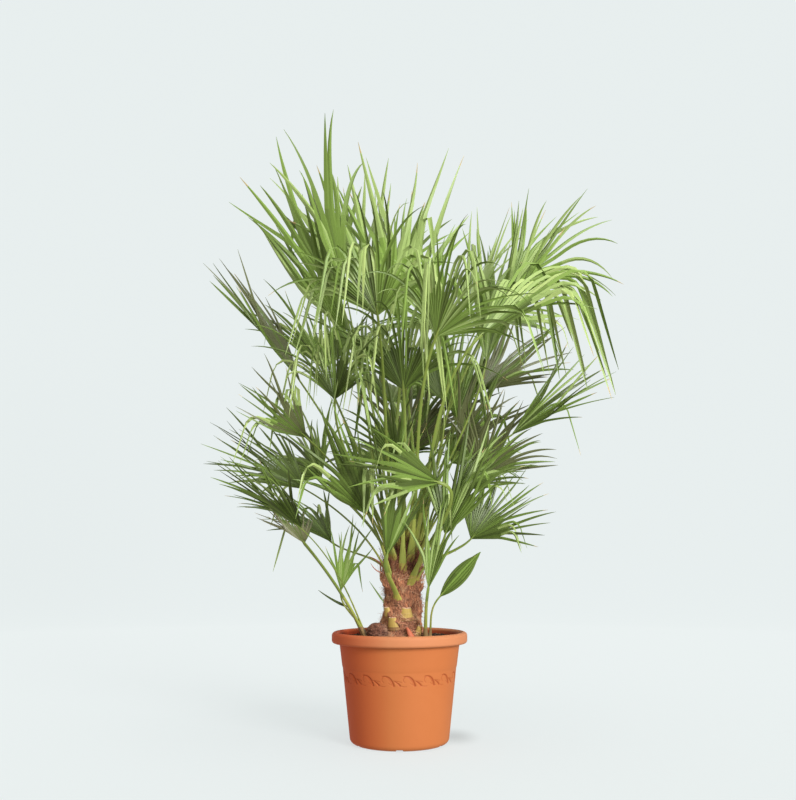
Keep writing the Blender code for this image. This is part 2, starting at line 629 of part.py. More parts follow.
def lay_out(solids):
    """Every frond's shape, and the leaflets that it keeps, in the order of the list."""
    shapes = [frond_shape(frond, number) for number, frond in enumerate(fronds)]
    paths = [petiole_path(frond, shape["axes"]) for frond, shape in zip(fronds, shapes)]
    extra = 2 * clear_gap
    clear = [outside_trunk(path) for path in paths]
    tubes = [BVHTree.FromPolygons(*tube_sheet(way, petiole_radii(len(path) + 1)[-len(way):] + extra))
             for way, path in zip(clear, paths)]
    taken = list(solids)
    layout = []
    for number, (frond, shape) in enumerate(zip(fronds, shapes)):
        others = [tube for k, tube in enumerate(tubes) if k != number]
        free, whole, trees = frond_space(shape, frond, taken + others)
        taken += trees
        layout.append({"shape": shape, "path": paths[number], "free": free, "whole": whole})
    return layout


def kept_range(whole):
    """The run of united leaflets round the middle one that stays, as (first, last + 1)."""
    middle = len(whole) // 2
    first = last = middle
    while first > 0 and whole[first - 1]:
        first -= 1
    while last < len(whole) - 1 and whole[last + 1]:
        last += 1
    return first, last + 1


def blade_mesh(name, plan):
    """The blade as an open surface: united from the hub to the notches, then cut to the rib."""
    shape = plan["shape"]
    first, end = kept_range(plan["whole"])
    points = [shape["hub"]] + [spot for spot, _ in shape["notches"][first:end + 1]]
    faces = []
    for k in range(first, end):
        here = 1 + k - first
        faces.append((0, here, here + 1))
        if not plan["free"][k]:
            continue
        left, right, _ = shape["leaflets"][k]
        base = len(points)
        points += [left[1], right[1], left[2], right[2], left[3]]
        faces += [(here, base, base + 1, here + 1), (base, base + 2, base + 3, base + 1),
                  (base + 2, base + 4, base + 3)]
    return mesh_of(name, points, faces)


def build_frond(frond, plan, collection, joined, trunk_cutter, material):
    blade = add_object(frond["name"], blade_mesh(frond["name"], plan), collection)
    shell = blade.modifiers.new("thickness", "SOLIDIFY")
    shell.thickness = blade_thickness
    shell.offset = 0.0
    path = plan["path"]
    rod(frond["name"] + "Petiole", path, petiole_radii(len(path)), joined)
    join_all(blade, joined)
    cut_back(blade, trunk_cutter)
    blade.data.materials.clear()
    blade.data.materials.append(material)
    return blade


def tree_of(obj):
    return BVHTree.FromObject(obj, bpy.context.evaluated_depsgraph_get())


def main():
    for obj in list(bpy.data.objects):
        bpy.data.objects.remove(obj)
    scene = bpy.context.scene
    scene.unit_settings.system = "METRIC"
    palm = bpy.data.collections.new("pottedFanPalm")
    cutters = bpy.data.collections.new("cutters")
    joined = bpy.data.collections.new("joinedPieces")
    for collection in (palm, cutters, joined):
        scene.collection.children.link(collection)

    pot = build_pot(palm, cutters)
    soil = build_soil(palm)
    trunk = build_trunk(palm, joined)
    trunk_cutter = add_object("trunkClearance", mesh_of("trunkClearance", *trunk_surface(clear_gap)), cutters)
    trunk_cutter.hide_render = True
    trunk_cutter.display_type = "WIRE"
    offshoot = build_offshoot(palm, trunk_cutter)

    solids = [tree_of(pot), tree_of(soil), tree_of(trunk), tree_of(offshoot)]
    greens = [colour(f"frondGreen{k + 1}", rgb, 0.45)
              for k, rgb in enumerate(((0.075, 0.17, 0.030), (0.11, 0.23, 0.045), (0.20, 0.30, 0.10)))]
    for number, (frond, plan) in enumerate(zip(fronds, lay_out(solids))):
        build_frond(frond, plan, palm, joined, trunk_cutter, greens[number % len(greens)])


if __name__ == "__main__":
    main()
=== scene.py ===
import math

import bpy
import numpy as np
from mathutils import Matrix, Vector


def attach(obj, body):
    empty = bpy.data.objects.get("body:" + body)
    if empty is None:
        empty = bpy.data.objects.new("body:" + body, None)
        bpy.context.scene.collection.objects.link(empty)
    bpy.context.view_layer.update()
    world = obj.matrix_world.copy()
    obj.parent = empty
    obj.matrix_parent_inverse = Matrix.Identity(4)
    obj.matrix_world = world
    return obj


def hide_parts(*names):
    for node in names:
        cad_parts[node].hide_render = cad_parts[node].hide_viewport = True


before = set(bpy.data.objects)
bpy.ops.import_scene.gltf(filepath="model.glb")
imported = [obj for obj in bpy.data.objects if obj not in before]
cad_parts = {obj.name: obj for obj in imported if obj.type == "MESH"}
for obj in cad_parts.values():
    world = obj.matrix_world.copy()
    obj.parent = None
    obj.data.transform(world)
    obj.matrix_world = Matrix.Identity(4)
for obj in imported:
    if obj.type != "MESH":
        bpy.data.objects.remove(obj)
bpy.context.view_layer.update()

print("frame loaded:", len(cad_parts), "nodes")

# metres from the trunk, the photo's size in pixels, the pixel row level with the camera, a pixel at the trunk
view = dict(distance=2.30, height=0.448, sideways=-0.0037, imageWide=796, imageHigh=800,
            metresPerPixel=0.00245, horizonRow=559.6, sensor=36.0, farthest=60)


def addCamera():
    # looks level along +Y; the photo's frame is reached by shifting the picture up, not by tilting
    data = bpy.data.cameras.new("camera")
    data.sensor_fit = "HORIZONTAL"
    data.sensor_width = view["sensor"]
    data.lens = view["sensor"] * view["distance"] / (view["imageWide"] * view["metresPerPixel"])
    data.shift_y = (view["horizonRow"] - view["imageHigh"] / 2) / view["imageWide"]
    data.clip_end = view["farthest"]
    camera = bpy.data.objects.new("camera", data)
    camera.location = (view["sideways"], -view["distance"], view["height"])
    camera.rotation_euler = (math.pi / 2, 0, 0)
    bpy.context.scene.collection.objects.link(camera)
    bpy.context.scene.camera = camera
    bpy.context.scene.view_settings.view_transform = "Standard"
    print("camera:", round(data.lens, 1), "mm")


class Wire:
    # a shader socket that takes part in Python expressions
    def __init__(self, tree, socket):
        self.tree, self.socket = tree, socket

    def __mul__(self, other):
        return makeNode(self.tree, "ShaderNodeMath", dict(operation="MULTIPLY"), {0: self, 1: other})

    __rmul__ = __mul__


def makeNode(tree, kind, settings, inputs, output=0):
    # any node: its settings first, then the values or links of its sockets
    node = tree.nodes.new(kind)
    for key, value in settings.items():
        setattr(node, key, value)
    for key, value in inputs.items():
        socket = node.inputs[key]
        if isinstance(value, Wire):
            tree.links.new(value.socket, socket)
        elif isinstance(value, tuple) and len(value) == 3 and socket.type == "RGBA":
            socket.default_value = (*value, 1.0)
        else:
            socket.default_value = value
    return Wire(tree, node.outputs[output])


def newMaterial(name, baseColor, roughness, **sockets):
    material = bpy.data.materials.new(name)
    material.use_nodes = True
    shader = material.node_tree.nodes["Principled BSDF"]
    shader.inputs["Roughness"].default_value = roughness
    shader.inputs["Base Color"].default_value = (*baseColor, 1.0)
    for key, value in sockets.items():
        shader.inputs[key].default_value = value
    return material, material.node_tree, shader


def plainMaterials(roughness, tones):
    return [newMaterial(name, tone, roughness)[0] for name, tone in tones.items()]


def feed(tree, shader, socket, wire):
    tree.links.new(wire.socket, shader.inputs[socket])


def mixColors(tree, factor, low, high):
    return makeNode(tree, "ShaderNodeMix", dict(data_type="RGBA"), {0: factor, 6: low, 7: high}, 2)


def shareOf(tree, value, low, high):
    # 0 at low to 1 at high
    return makeNode(tree, "ShaderNodeMapRange", {}, {0: value, 1: low, 2: high})


def objectPlace(tree):
    return makeNode(tree, "ShaderNodeTexCoord", {}, {}, 3)


def objectNoise(tree, scale, detail, roughness, stretch=(1, 1, 1)):
    turned = makeNode(tree, "ShaderNodeMapping", {}, {0: objectPlace(tree), 3: stretch})
    return makeNode(tree, "ShaderNodeTexNoise", {},
                    {"Vector": turned, "Scale": scale, "Detail": detail, "Roughness": roughness})


def bumpFrom(tree, shader, height, distance, strength):
    bump = makeNode(tree, "ShaderNodeBump", {},
                    {"Height": height, "Distance": distance, "Strength": strength})
    feed(tree, shader, "Normal", bump)


def latticeNoise(u, v, cellsU, cellsV, seed, slant=0.0):
    # smooth noise on a lattice of random values, closed in u (0..1 wraps), open in v and slanted along v:
    # value = mix of the four lattice corners, weighted by 3t^2 - 2t^3 along each side
    values = np.random.default_rng(seed).random((cellsU, cellsV + 2))
    x, y = ((u + slant * v) % 1.0) * cellsU, np.clip(v, 0, 1) * cellsV
    i, j = np.floor(x).astype(int) % cellsU, np.minimum(np.floor(y).astype(int), cellsV)
    s, t = x - np.floor(x), y - np.floor(y)
    s, t = s * s * (3 - 2 * s), t * t * (3 - 2 * t)
    low = values[i, j] * (1 - s) + values[(i + 1) % cellsU, j] * s
    high = values[i, j + 1] * (1 - s) + values[(i + 1) % cellsU, j + 1] * s
    return low * (1 - t) + high * t


def gridFaces(rows, columns, closed=False):
    # quads between the rows and columns of a grid of points, in one array
    r = np.arange(rows - 1)[:, None]
    c = np.arange(columns if closed else columns - 1)[None, :]
    following = (c + 1) % columns
    quads = np.stack([r * columns + c, r * columns + following, (r + 1) * columns + following,
                      (r + 1) * columns + c], axis=-1)
    return quads.reshape(-1, 4)


def closedRows(rows, columns):
    # the two many-sided faces that close the first and last row of a ring grid
    last = (rows - 1) * columns
    return [range(columns)[::-1], [last + k for k in range(columns)]]


def meshFrom(name, points, quads, materials, slots=None, smooth=True, caps=(), attribute=None):
    # faces of four corners from one array, then any many-sided caps; a repeated corner makes a triangle
    faces = [face[:3] if face[2] == face[3] else face for face in np.asarray(quads).tolist()]
    mesh = bpy.data.meshes.new(name)
    mesh.from_pydata(np.asarray(points).reshape(-1, 3).tolist(), [], faces + [list(cap) for cap in caps])
    for material in materials:
        mesh.materials.append(material)
    if slots is not None:
        mesh.polygons.foreach_set("material_index", np.asarray(slots, dtype=np.int32))
    mesh.polygons.foreach_set("use_smooth", np.full(len(mesh.polygons), smooth))
    if attribute is not None:
        mesh.attributes.new("share", "FLOAT", "POINT").data.foreach_set("value", attribute.ravel())
    mesh.update()
    piece = bpy.data.objects.new(name, mesh)
    bpy.context.scene.collection.objects.link(piece)
    return piece


class Sheaf:
    # gathers arrays of points, quads and slots into one mesh
    def __init__(self):
        self.points, self.quads, self.slots, self.count = [], [], [], 0

    def add(self, points, quads, slots):
        points, quads = np.asarray(points).reshape(-1, 3), np.asarray(quads)
        self.points.append(points)
        self.quads.append(quads + self.count)
        self.slots.append(np.broadcast_to(slots, len(quads)))
        self.count += len(points)

    def piece(self, name, materials):
        return meshFrom(name, np.vstack(self.points), np.vstack(self.quads), materials,
                        np.concatenate(self.slots), smooth=False)


def unit(vectors):
    return vectors / np.linalg.norm(vectors, axis=-1, keepdims=True)


def outwardAt(bearing):
    # level unit vector at a bearing in degrees
    return np.array([math.cos(math.radians(bearing)), math.sin(math.radians(bearing)), 0.0])


def tile(quads, points, count):
    # the same faces for many copies of a shape that has this many points
    return (quads[None] + (np.arange(count) * points)[:, None, None]).reshape(-1, 4)


def bowed(t, start, middle, end):
    # (1-t)^2 start + 2t(1-t) middle + t^2 end
    return np.outer((1 - t) ** 2, start) + np.outer(2 * t * (1 - t), middle) + np.outer(t * t, end)


def carried(paths, radii, sides, squash=1.0, facing=(0.31, 0.93, 0.17)):
    # round sections carried along many paths at once, shape (paths, places, 3):
    # point = path + radius * (cos a * across + squash * sin a * up), across and up square to the path;
    # each end closes on a centre point
    paths, radii = np.asarray(paths, float), np.asarray(radii, float)
    count, places = paths.shape[:2]
    ahead = unit(np.gradient(paths, axis=1))
    across = unit(np.cross(ahead, np.broadcast_to(np.asarray(facing, float), ahead.shape)))
    up = np.cross(across, ahead)
    angle = (np.arange(sides) * math.tau / sides)[:, None]
    ring = np.cos(angle) * across[:, :, None] + squash * np.sin(angle) * up[:, :, None]
    rings = paths[:, :, None] + radii[..., None, None] * ring
    points = np.concatenate([rings.reshape(count, -1, 3), paths[:, :1], paths[:, -1:]], axis=1)
    sleeve = gridFaces(places, sides, True)[:, ::-1]
    side = np.arange(sides)
    following, first, last = (side + 1) % sides, (places - 1) * sides, places * sides
    foot = np.stack([side, following, np.full(sides, last), np.full(sides, last)], axis=-1)
    head = np.stack([first + following, first + side, np.full(sides, last + 1),
                     np.full(sides, last + 1)], axis=-1)
    quads = np.concatenate([sleeve, foot, head])
    return points.reshape(-1, 3), tile(quads, points.shape[1], count)


# leaflets: pitch in degrees; places and eases are shares of a leaflet's length; pairs give the least and how
# much chance adds; stray, lift, sickle and twist are the most a leaflet leaves its own way
leaf = dict(pitch=4.2, unitedShare=0.38, bendFromShare=0.6, coneLift=0.25, sideShortening=0.22,
            groupLength=(0.92, 0.12), ownShortening=0.26, pathSteps=40,
            bendStrength=2.2, groupBend=(0.7, 0.6), ownBend=(0.75, 0.5), sagPower=1.3,
            rising=("rightPale", "upperRightA"), risenFrom=0.62, risenShare=0.25,
            freeEase=0.12, stray=0.28, lift=0.34, sickle=0.22, twist=1.15,
            foldingShare=0.8, broken=0.07, brokenBelow=1.0, foldPlace=(0.36, 0.28), foldOwn=0.06, noFold=9.0,
            foldEase=0.20, hung=1.30, hungFrom=0.3, hangOut=0.35,
            shut=("suckerFolded",), shutWidth=2.5, shutTurn=1.9, shutShortening=0.10, shutNarrowing=0.95,
            shutFoot=0.004, shutOverlap=0.54, shutPleat=0.8,
            overlap=1.15, ownUnited=(0.90, 0.20), footWidth=0.03, ribThickness=0.0010, ribTaper=0.7,
            ribLeast=0.05, palmFold=0.55, freeFold=0.60,
            taper=((0, 1.0), (0.12, 0.98), (0.39, 0.88), (0.68, 0.62), (0.89, 0.30), (1.0, 0.04)),
            stations=(0.0, 0.08, 0.17, 0.27, 0.36, 0.42, 0.48, 0.54, 0.60, 0.67, 0.74, 0.81, 0.88, 0.94, 1.0))
petiole = dict(baseRadius=0.0052, endRadius=0.0032, flare=0.0085, flareShare=0.20, flarePower=1.5,
               soilFlare=0.35, bladeEnd=(0.8, 0.35), squash=0.55, steps=36, stepPower=1.4, sides=10,
               rootLean=0.45, seatLean=0.35, seatDepth=0.012, seatLeast=0.004, footPull=0.35, hubPull=0.3,
               intoBlade=0.022, lowReach=0.110, footReach=0.028,
               broad=dict(lowFront=1.5, centreLeft=1.3, suckerOlive=1.5, suckerRight=1.25,
                          suckerFolded=0.7, lowerLeftB=0.7))
spines = dict(first=0.05, spacing=0.013, length=0.0042, ownLength=(0.7, 0.5), share=0.72, sunk=0.85,
              out=0.75, ahead=0.65, halfWidth=0.0013, thickness=0.0007)
leafTones = dict(deep=(0.074, 0.112, 0.023), leaf=(0.108, 0.165, 0.034), mid=(0.140, 0.220, 0.042),
                 fresh=(0.188, 0.295, 0.060), pale=(0.290, 0.400, 0.130), lime=(0.360, 0.470, 0.160),
                 olive=(0.175, 0.180, 0.090), straw=(0.450, 0.360, 0.160), stalk=(0.190, 0.260, 0.050),
                 stalkFoot=(0.430, 0.410, 0.085), spine=(0.320, 0.220, 0.080), rust=(0.300, 0.095, 0.045),
                 stalkLow=(0.350, 0.400, 0.085), stalkRoot=(0.330, 0.220, 0.100), moss=(0.112, 0.128, 0.052))
toneOrder = list(leafTones)
leafGloss = dict(roughness=0.40, dryRoughness=0.62, dry=("straw", "stalkFoot", "spine"), specular=0.3)
# which green each frond mostly wears, and how the leaflets' tones are dealt out around it
frondTones = dict(crownBack="fresh", upperLeftTall="mid", upperBackLeft="fresh", frontLeftFacing="mid",
                  upperLeftWide="mid", leftFolded="moss", leftInner="leaf", leftMid="moss", lowerLeftA="deep",
                  lowerLeftB="leaf", lowerLeftC="leaf", lowMidLeft="leaf", lowFront="mid", centreLeft="leaf",
                  centreFront="leaf", centreBack="moss", upperRightA="fresh", upperRightB="pale",
                  rightPale="fresh", rightMid="moss", rightMidLow="mid", centreRight="moss", rightLowA="leaf",
                  rightLowB="leaf", centreRightLow="mid", suckerRight="fresh", midCentre="mid",
                  # frontRight wears a paler green than its own as painted light, lifting the shade on its
                  # downturned face
                  frontRight="fresh", backHigh="fresh", suckerFolded="leaf", innerLeft="leaf",
                  innerRight="leaf", midRight="moss", midLeft="deep", suckerLeft="fresh", suckerOlive="olive",
                  rightHanging="mid", upperLeftFront="mid")
# hanging: the paler tones dealt to what hangs past a fold, as painted light shining through it
dealt = dict(steps=(-2, -1, 0, 0, 0, 1, 2), lighterShare=0.35, lighterFrom=0.5, dryShare=0.22, dryFrom=0.95,
             limeBefore=0.10, hanging=("lime", "lime", "pale", "pale", "fresh"))
# the number that each random choice is drawn with
draws = dict(groupLength=1, groupBend=2, groupFold=3, foldPlace=4, ownLength=11, united=12, stray=13,
             twist=14, tone=15, lighter=16, hanging=17, dry=18, spine=19, ownBend=20, ownFold=21, foldOwn=22,
             lift=23, sickle=24, broken=25)

# each frond: its hub, the bearing, toward and turn of its blade in degrees, radius and spread, the solids'
# leaflets, droop and share of folded leaflets, how far they are united where that isn't the usual share, and
# its seat on the trunk (bearing, height) or root in the soil
fronds = [
    dict(name="crownBack", hub=(-0.006, 0.118, 1.067), bearing=-4, toward=-11, turn=17,
         radius=0.5, spread=85, leaflets=9, droop=0.06, fold=0.13, seat=(42, 0.228)),
    dict(name="upperLeftTall", hub=(-0.159, 0.195, 1.147), bearing=-20, toward=-18, turn=15,
         radius=0.51, spread=48, leaflets=6, droop=0.07, fold=0.1, seat=(200, 0.225)),
    dict(name="upperBackLeft", hub=(-0.078, 0.203, 1.144), bearing=-7, toward=-21, turn=-17,
         radius=0.42, spread=52, leaflets=6, droop=0.04, fold=0, seat=(98, 0.215)),
    dict(name="frontLeftFacing", hub=(-0.049, -0.201, 0.993), bearing=-8, toward=22, turn=172,
         radius=0.31, spread=120, leaflets=11, droop=0.45, fold=0.65,
         united=0.32, seat=(-126, 0.205)),
    dict(name="upperLeftWide", hub=(-0.131, 0.050, 1.012), bearing=-30, toward=10, turn=7,
         radius=0.45, spread=39, leaflets=6, droop=0.09, fold=0.1, seat=(142, 0.215)),
    dict(name="leftFolded", hub=(-0.248, 0.048, 0.893), bearing=-35, toward=3, turn=67,
         radius=0.4, spread=53, leaflets=8, droop=0.05, fold=0, seat=(-209, 0.172)),
    dict(name="leftInner", hub=(-0.151, -0.106, 0.822), bearing=5, toward=16, turn=-35,
         radius=0.3, spread=114, leaflets=10, droop=0.39, fold=0.5,
         united=0.26, seat=(-129, 0.175)),
    dict(name="leftMid", hub=(-0.216, -0.118, 0.731), bearing=-48, toward=2, turn=24,
         radius=0.23, spread=76, leaflets=8, droop=0.04, fold=0.48, seat=(-156, 0.175)),
    dict(name="lowerLeftA", hub=(-0.233, 0.008, 0.621), bearing=-61, toward=2, turn=60,
         radius=0.29, spread=108, leaflets=10, droop=0.08, fold=0, seat=(-177, 0.135)),
    dict(name="lowerLeftB", hub=(-0.226, -0.143, 0.519), bearing=-48, toward=20, turn=115,
         radius=0.26, spread=90, leaflets=9, droop=0.12, fold=0, root=(-0.082, -0.020)),
    dict(name="lowerLeftC", hub=(-0.175, 0.120, 0.493), bearing=-53, toward=-11, turn=68,
         radius=0.3, spread=105, leaflets=9, droop=0.18, fold=0.08, seat=(153, 0.135)),
    dict(name="lowMidLeft", hub=(-0.073, -0.083, 0.552), bearing=-28, toward=27, turn=18,
         radius=0.34, spread=61, leaflets=7, droop=0.07, fold=0.01, seat=(-133, 0.120)),
    dict(name="lowFront", hub=(-0.031, -0.121, 0.454), bearing=12, toward=-3, turn=23,
         radius=0.4, spread=45, leaflets=7, droop=0.15, fold=0,
         united=0.24, seat=(-108, 0.080)),
    dict(name="centreLeft", hub=(0.090, -0.187, 0.621), bearing=-76, toward=7, turn=23,
         radius=0.26, spread=69, leaflets=8, droop=0.05, fold=0.23, seat=(-60, 0.120)),
    dict(name="centreFront", hub=(0.009, -0.121, 0.842), bearing=-5, toward=21, turn=161,
         radius=0.34, spread=120, leaflets=10, droop=0.61, fold=0.6,
         united=0.26, seat=(-93, 0.152)),
    dict(name="centreBack", hub=(0.020, 0.245, 0.736), bearing=22, toward=-6, turn=-6,
         radius=0.34, spread=98, leaflets=8, droop=0.15, fold=0.06, seat=(64, 0.120)),
    dict(name="upperRightA", hub=(0.204, -0.086, 0.913), bearing=10, toward=0, turn=-33,
         radius=0.41, spread=52, leaflets=8, droop=0.12, fold=0.34, seat=(-23, 0.213)),
    dict(name="upperRightB", hub=(0.178, 0.185, 1.100), bearing=21, toward=-22, turn=-51,
         radius=0.38, spread=56, leaflets=8, droop=0.04, fold=0.17, seat=(27, 0.206)),
    dict(name="rightPale", hub=(0.281, 0.066, 1.130), bearing=54, toward=9, turn=-15,
         radius=0.31, spread=103, leaflets=10, droop=0.64, fold=0.6, seat=(1, 0.195)),
    dict(name="rightMid", hub=(0.208, 0.102, 0.880), bearing=52, toward=1, turn=-32,
         radius=0.29, spread=80, leaflets=8, droop=0.13, fold=0.15, seat=(23, 0.189)),
    dict(name="rightMidLow", hub=(0.270, -0.043, 0.748), bearing=56, toward=18, turn=-59,
         radius=0.3, spread=70, leaflets=8, droop=0.04, fold=0, seat=(0, 0.175)),
    dict(name="centreRight", hub=(0.197, 0.015, 0.651), bearing=27, toward=3, turn=9,
         radius=0.25, spread=102, leaflets=9, droop=0.21, fold=0, seat=(0, 0.151)),
    dict(name="rightLowA", hub=(0.133, -0.100, 0.611), bearing=55, toward=-7, turn=-22,
         radius=0.23, spread=74, leaflets=8, droop=0.16, fold=0, seat=(-39, 0.135)),
    dict(name="rightLowB", hub=(0.174, -0.004, 0.498), bearing=43, toward=-4, turn=-30,
         radius=0.24, spread=112, leaflets=10, droop=0.04, fold=0.2, seat=(27, 0.135)),
    dict(name="centreRightLow", hub=(0.107, -0.097, 0.506), bearing=14, toward=9, turn=-21,
         radius=0.3, spread=71, leaflets=8, droop=0.12, fold=0.11, seat=(-35, 0.121)),
    dict(name="suckerRight", hub=(0.067, -0.103, 0.379), bearing=9, toward=7, turn=-17,
         radius=0.24, spread=38, leaflets=6, droop=0.04, fold=0, root=(0.062, -0.030)),
    dict(name="midCentre", hub=(0.094, -0.012, 1.007), bearing=-23, toward=24, turn=190,
         radius=0.28, spread=125, leaflets=10, droop=0.39, fold=0.32,
         united=0.26, seat=(-47, 0.225)),
    dict(name="frontRight", hub=(0.077, -0.300, 0.923), bearing=23, toward=38, turn=173,
         radius=0.31, spread=120, leaflets=10, droop=0.59, fold=0.55,
         united=0.26, seat=(-63, 0.175)),
    dict(name="backHigh", hub=(-0.012, 0.266, 1.209), bearing=-18, toward=-36, turn=6,
         radius=0.33, spread=110, leaflets=9, droop=0.14, fold=0, seat=(120, 0.150)),
    dict(name="backRight", hub=(0.258, 0.250, 1.093), bearing=35, toward=-38, turn=5,
         radius=0.34, spread=108, leaflets=9, droop=0.19, fold=0.12, seat=(66, 0.172)),
    dict(name="backLeft", hub=(-0.201, 0.208, 0.956), bearing=-18, toward=-28, turn=30,
         radius=0.31, spread=103, leaflets=8, droop=0.2, fold=0, seat=(134, 0.195)),
    dict(name="backMid", hub=(-0.021, 0.258, 0.873), bearing=2, toward=-60, turn=9,
         radius=0.41, spread=125, leaflets=8, droop=0.3, fold=0, seat=(80, 0.200)),
    dict(name="backLow", hub=(-0.031, 0.239, 0.693), bearing=-4, toward=-52, turn=-2,
         radius=0.29, spread=125, leaflets=8, droop=0.3, fold=0, seat=(104, 0.178)),
    dict(name="backLowLeft", hub=(-0.211, 0.250, 0.671), bearing=-43, toward=-44, turn=-6,
         radius=0.31, spread=106, leaflets=8, droop=0.26, fold=0, seat=(115, 0.120)),
    dict(name="backLowRight", hub=(0.138, 0.205, 0.705), bearing=52, toward=-37, turn=-16,
         radius=0.25, spread=110, leaflets=8, droop=0.25, fold=0, seat=(29, 0.159)),
    dict(name="centreRise", hub=(0.147, 0.150, 0.814), bearing=8, toward=-15, turn=-16,
         radius=0.34, spread=64, leaflets=7, droop=0.04, fold=0, seat=(55, 0.199)),
    dict(name="suckerFolded", hub=(0.092, -0.140, 0.362), bearing=42, toward=4, turn=-20,
         radius=0.14, spread=26, leaflets=4, droop=0.05, fold=0,
         united=0.8, root=(0.072, -0.060)),
    dict(name="innerLeft", hub=(-0.091, -0.002, 0.931), bearing=-7, toward=-41, turn=27,
         radius=0.27, spread=96, leaflets=7, droop=0.15, fold=0.2, seat=(-196, 0.188)),
    dict(name="innerRight", hub=(0.102, -0.074, 0.826), bearing=-10, toward=-24, turn=-40,
         radius=0.28, spread=71, leaflets=6, droop=0.12, fold=0.2, seat=(10, 0.215)),
    dict(name="midRight", hub=(0.143, 0.040, 0.715), bearing=27, toward=-2, turn=18,
         radius=0.28, spread=58, leaflets=6, droop=0.12, fold=0.01, seat=(15, 0.170)),
    dict(name="midLeft", hub=(-0.007, -0.029, 0.680), bearing=-13, toward=15, turn=9,
         radius=0.22, spread=64, leaflets=6, droop=0.14, fold=0.06, seat=(-168, 0.172)),
    dict(name="suckerLeft", hub=(-0.142, -0.030, 0.372), bearing=8, toward=-8, turn=9,
         radius=0.2, spread=48, leaflets=4, droop=0.05, fold=0, root=(-0.078, -0.004)),
    dict(name="rightHanging", hub=(0.180, -0.215, 0.945), bearing=46, toward=-5, turn=-39,
         radius=0.41, spread=66, leaflets=6, droop=0.52, fold=0.9, seat=(-40, 0.192)),
    dict(name="upperLeftFront", hub=(-0.133, -0.022, 1.104), bearing=-13, toward=5, turn=28,
         radius=0.48, spread=28, leaflets=5, droop=0.3, fold=0, seat=(-183, 0.215)),
    dict(name="suckerOlive", hub=(-0.225, -0.079, 0.486), bearing=-42, toward=-25, turn=62,
         radius=0.16, spread=105, leaflets=7, droop=0.04, fold=0, root=(-0.084, -0.034)),
]

up = np.array([0.0, 0.0, 1.0])
down = -up


def frondAxes(frond):
    # unit vectors of a blade: along its middle leaflet, across it, and out of its upper face
    bearing, toward, turn = (math.radians(frond[key]) for key in ("bearing", "toward", "turn"))
    along = np.array([math.sin(bearing) * math.cos(toward), -math.sin(toward),
                      math.cos(bearing) * math.cos(toward)])
    front = np.array([0.0, -1.0, 0.0])
    front = unit(front - front.dot(along) * along)
    face = math.cos(turn) * front + math.sin(turn) * np.cross(along, front)
    return along, np.cross(face, along), face


def chance(frond, leaflets, draw, least=0.0, more=1.0):
    # repeatable numbers from least to least + more: the fraction of a large multiple of a sine
    value = np.sin(frond * 12.9898 + leaflets * 78.233 + draws[draw] * 37.719) * 43758.5453
    return least + more * (value - np.floor(value))


def eitherWay(frond, leaflets, draw):
    # repeatable numbers from minus to plus the leaflets' value of the same name
    return ((chance(frond, leaflets, draw) - 0.5) * 2 * leaf[draw])[:, None]


def between(values, index):
    # values (leaflets, steps, 3) read at fractional steps
    low = np.clip(np.floor(index).astype(int), 0, values.shape[1] - 2)
    part = np.clip(index - low, 0, 1)[None, :, None]
    return values[:, low] * (1 - part) + values[:, low + 1] * part


def leafletFolds(frond, number, own, group, risen):
    # which leaflets are folded over, and at what share of their length
    folded = ((chance(number, group, "groupFold") < frond["fold"])
              & (chance(number, own, "ownFold") < leaf["foldingShare"]))
    isLow = frond["hub"][2] < leaf["brokenBelow"]
    folded = (folded | (chance(number, own, "broken") < leaf["broken"] * isLow)) & ~risen
    fold = chance(number, group, "foldPlace", *leaf["foldPlace"])
    fold = fold + leaf["foldOwn"] * (chance(number, own, "foldOwn") - 0.5)
    return folded, np.where(folded, fold, leaf["noFold"])


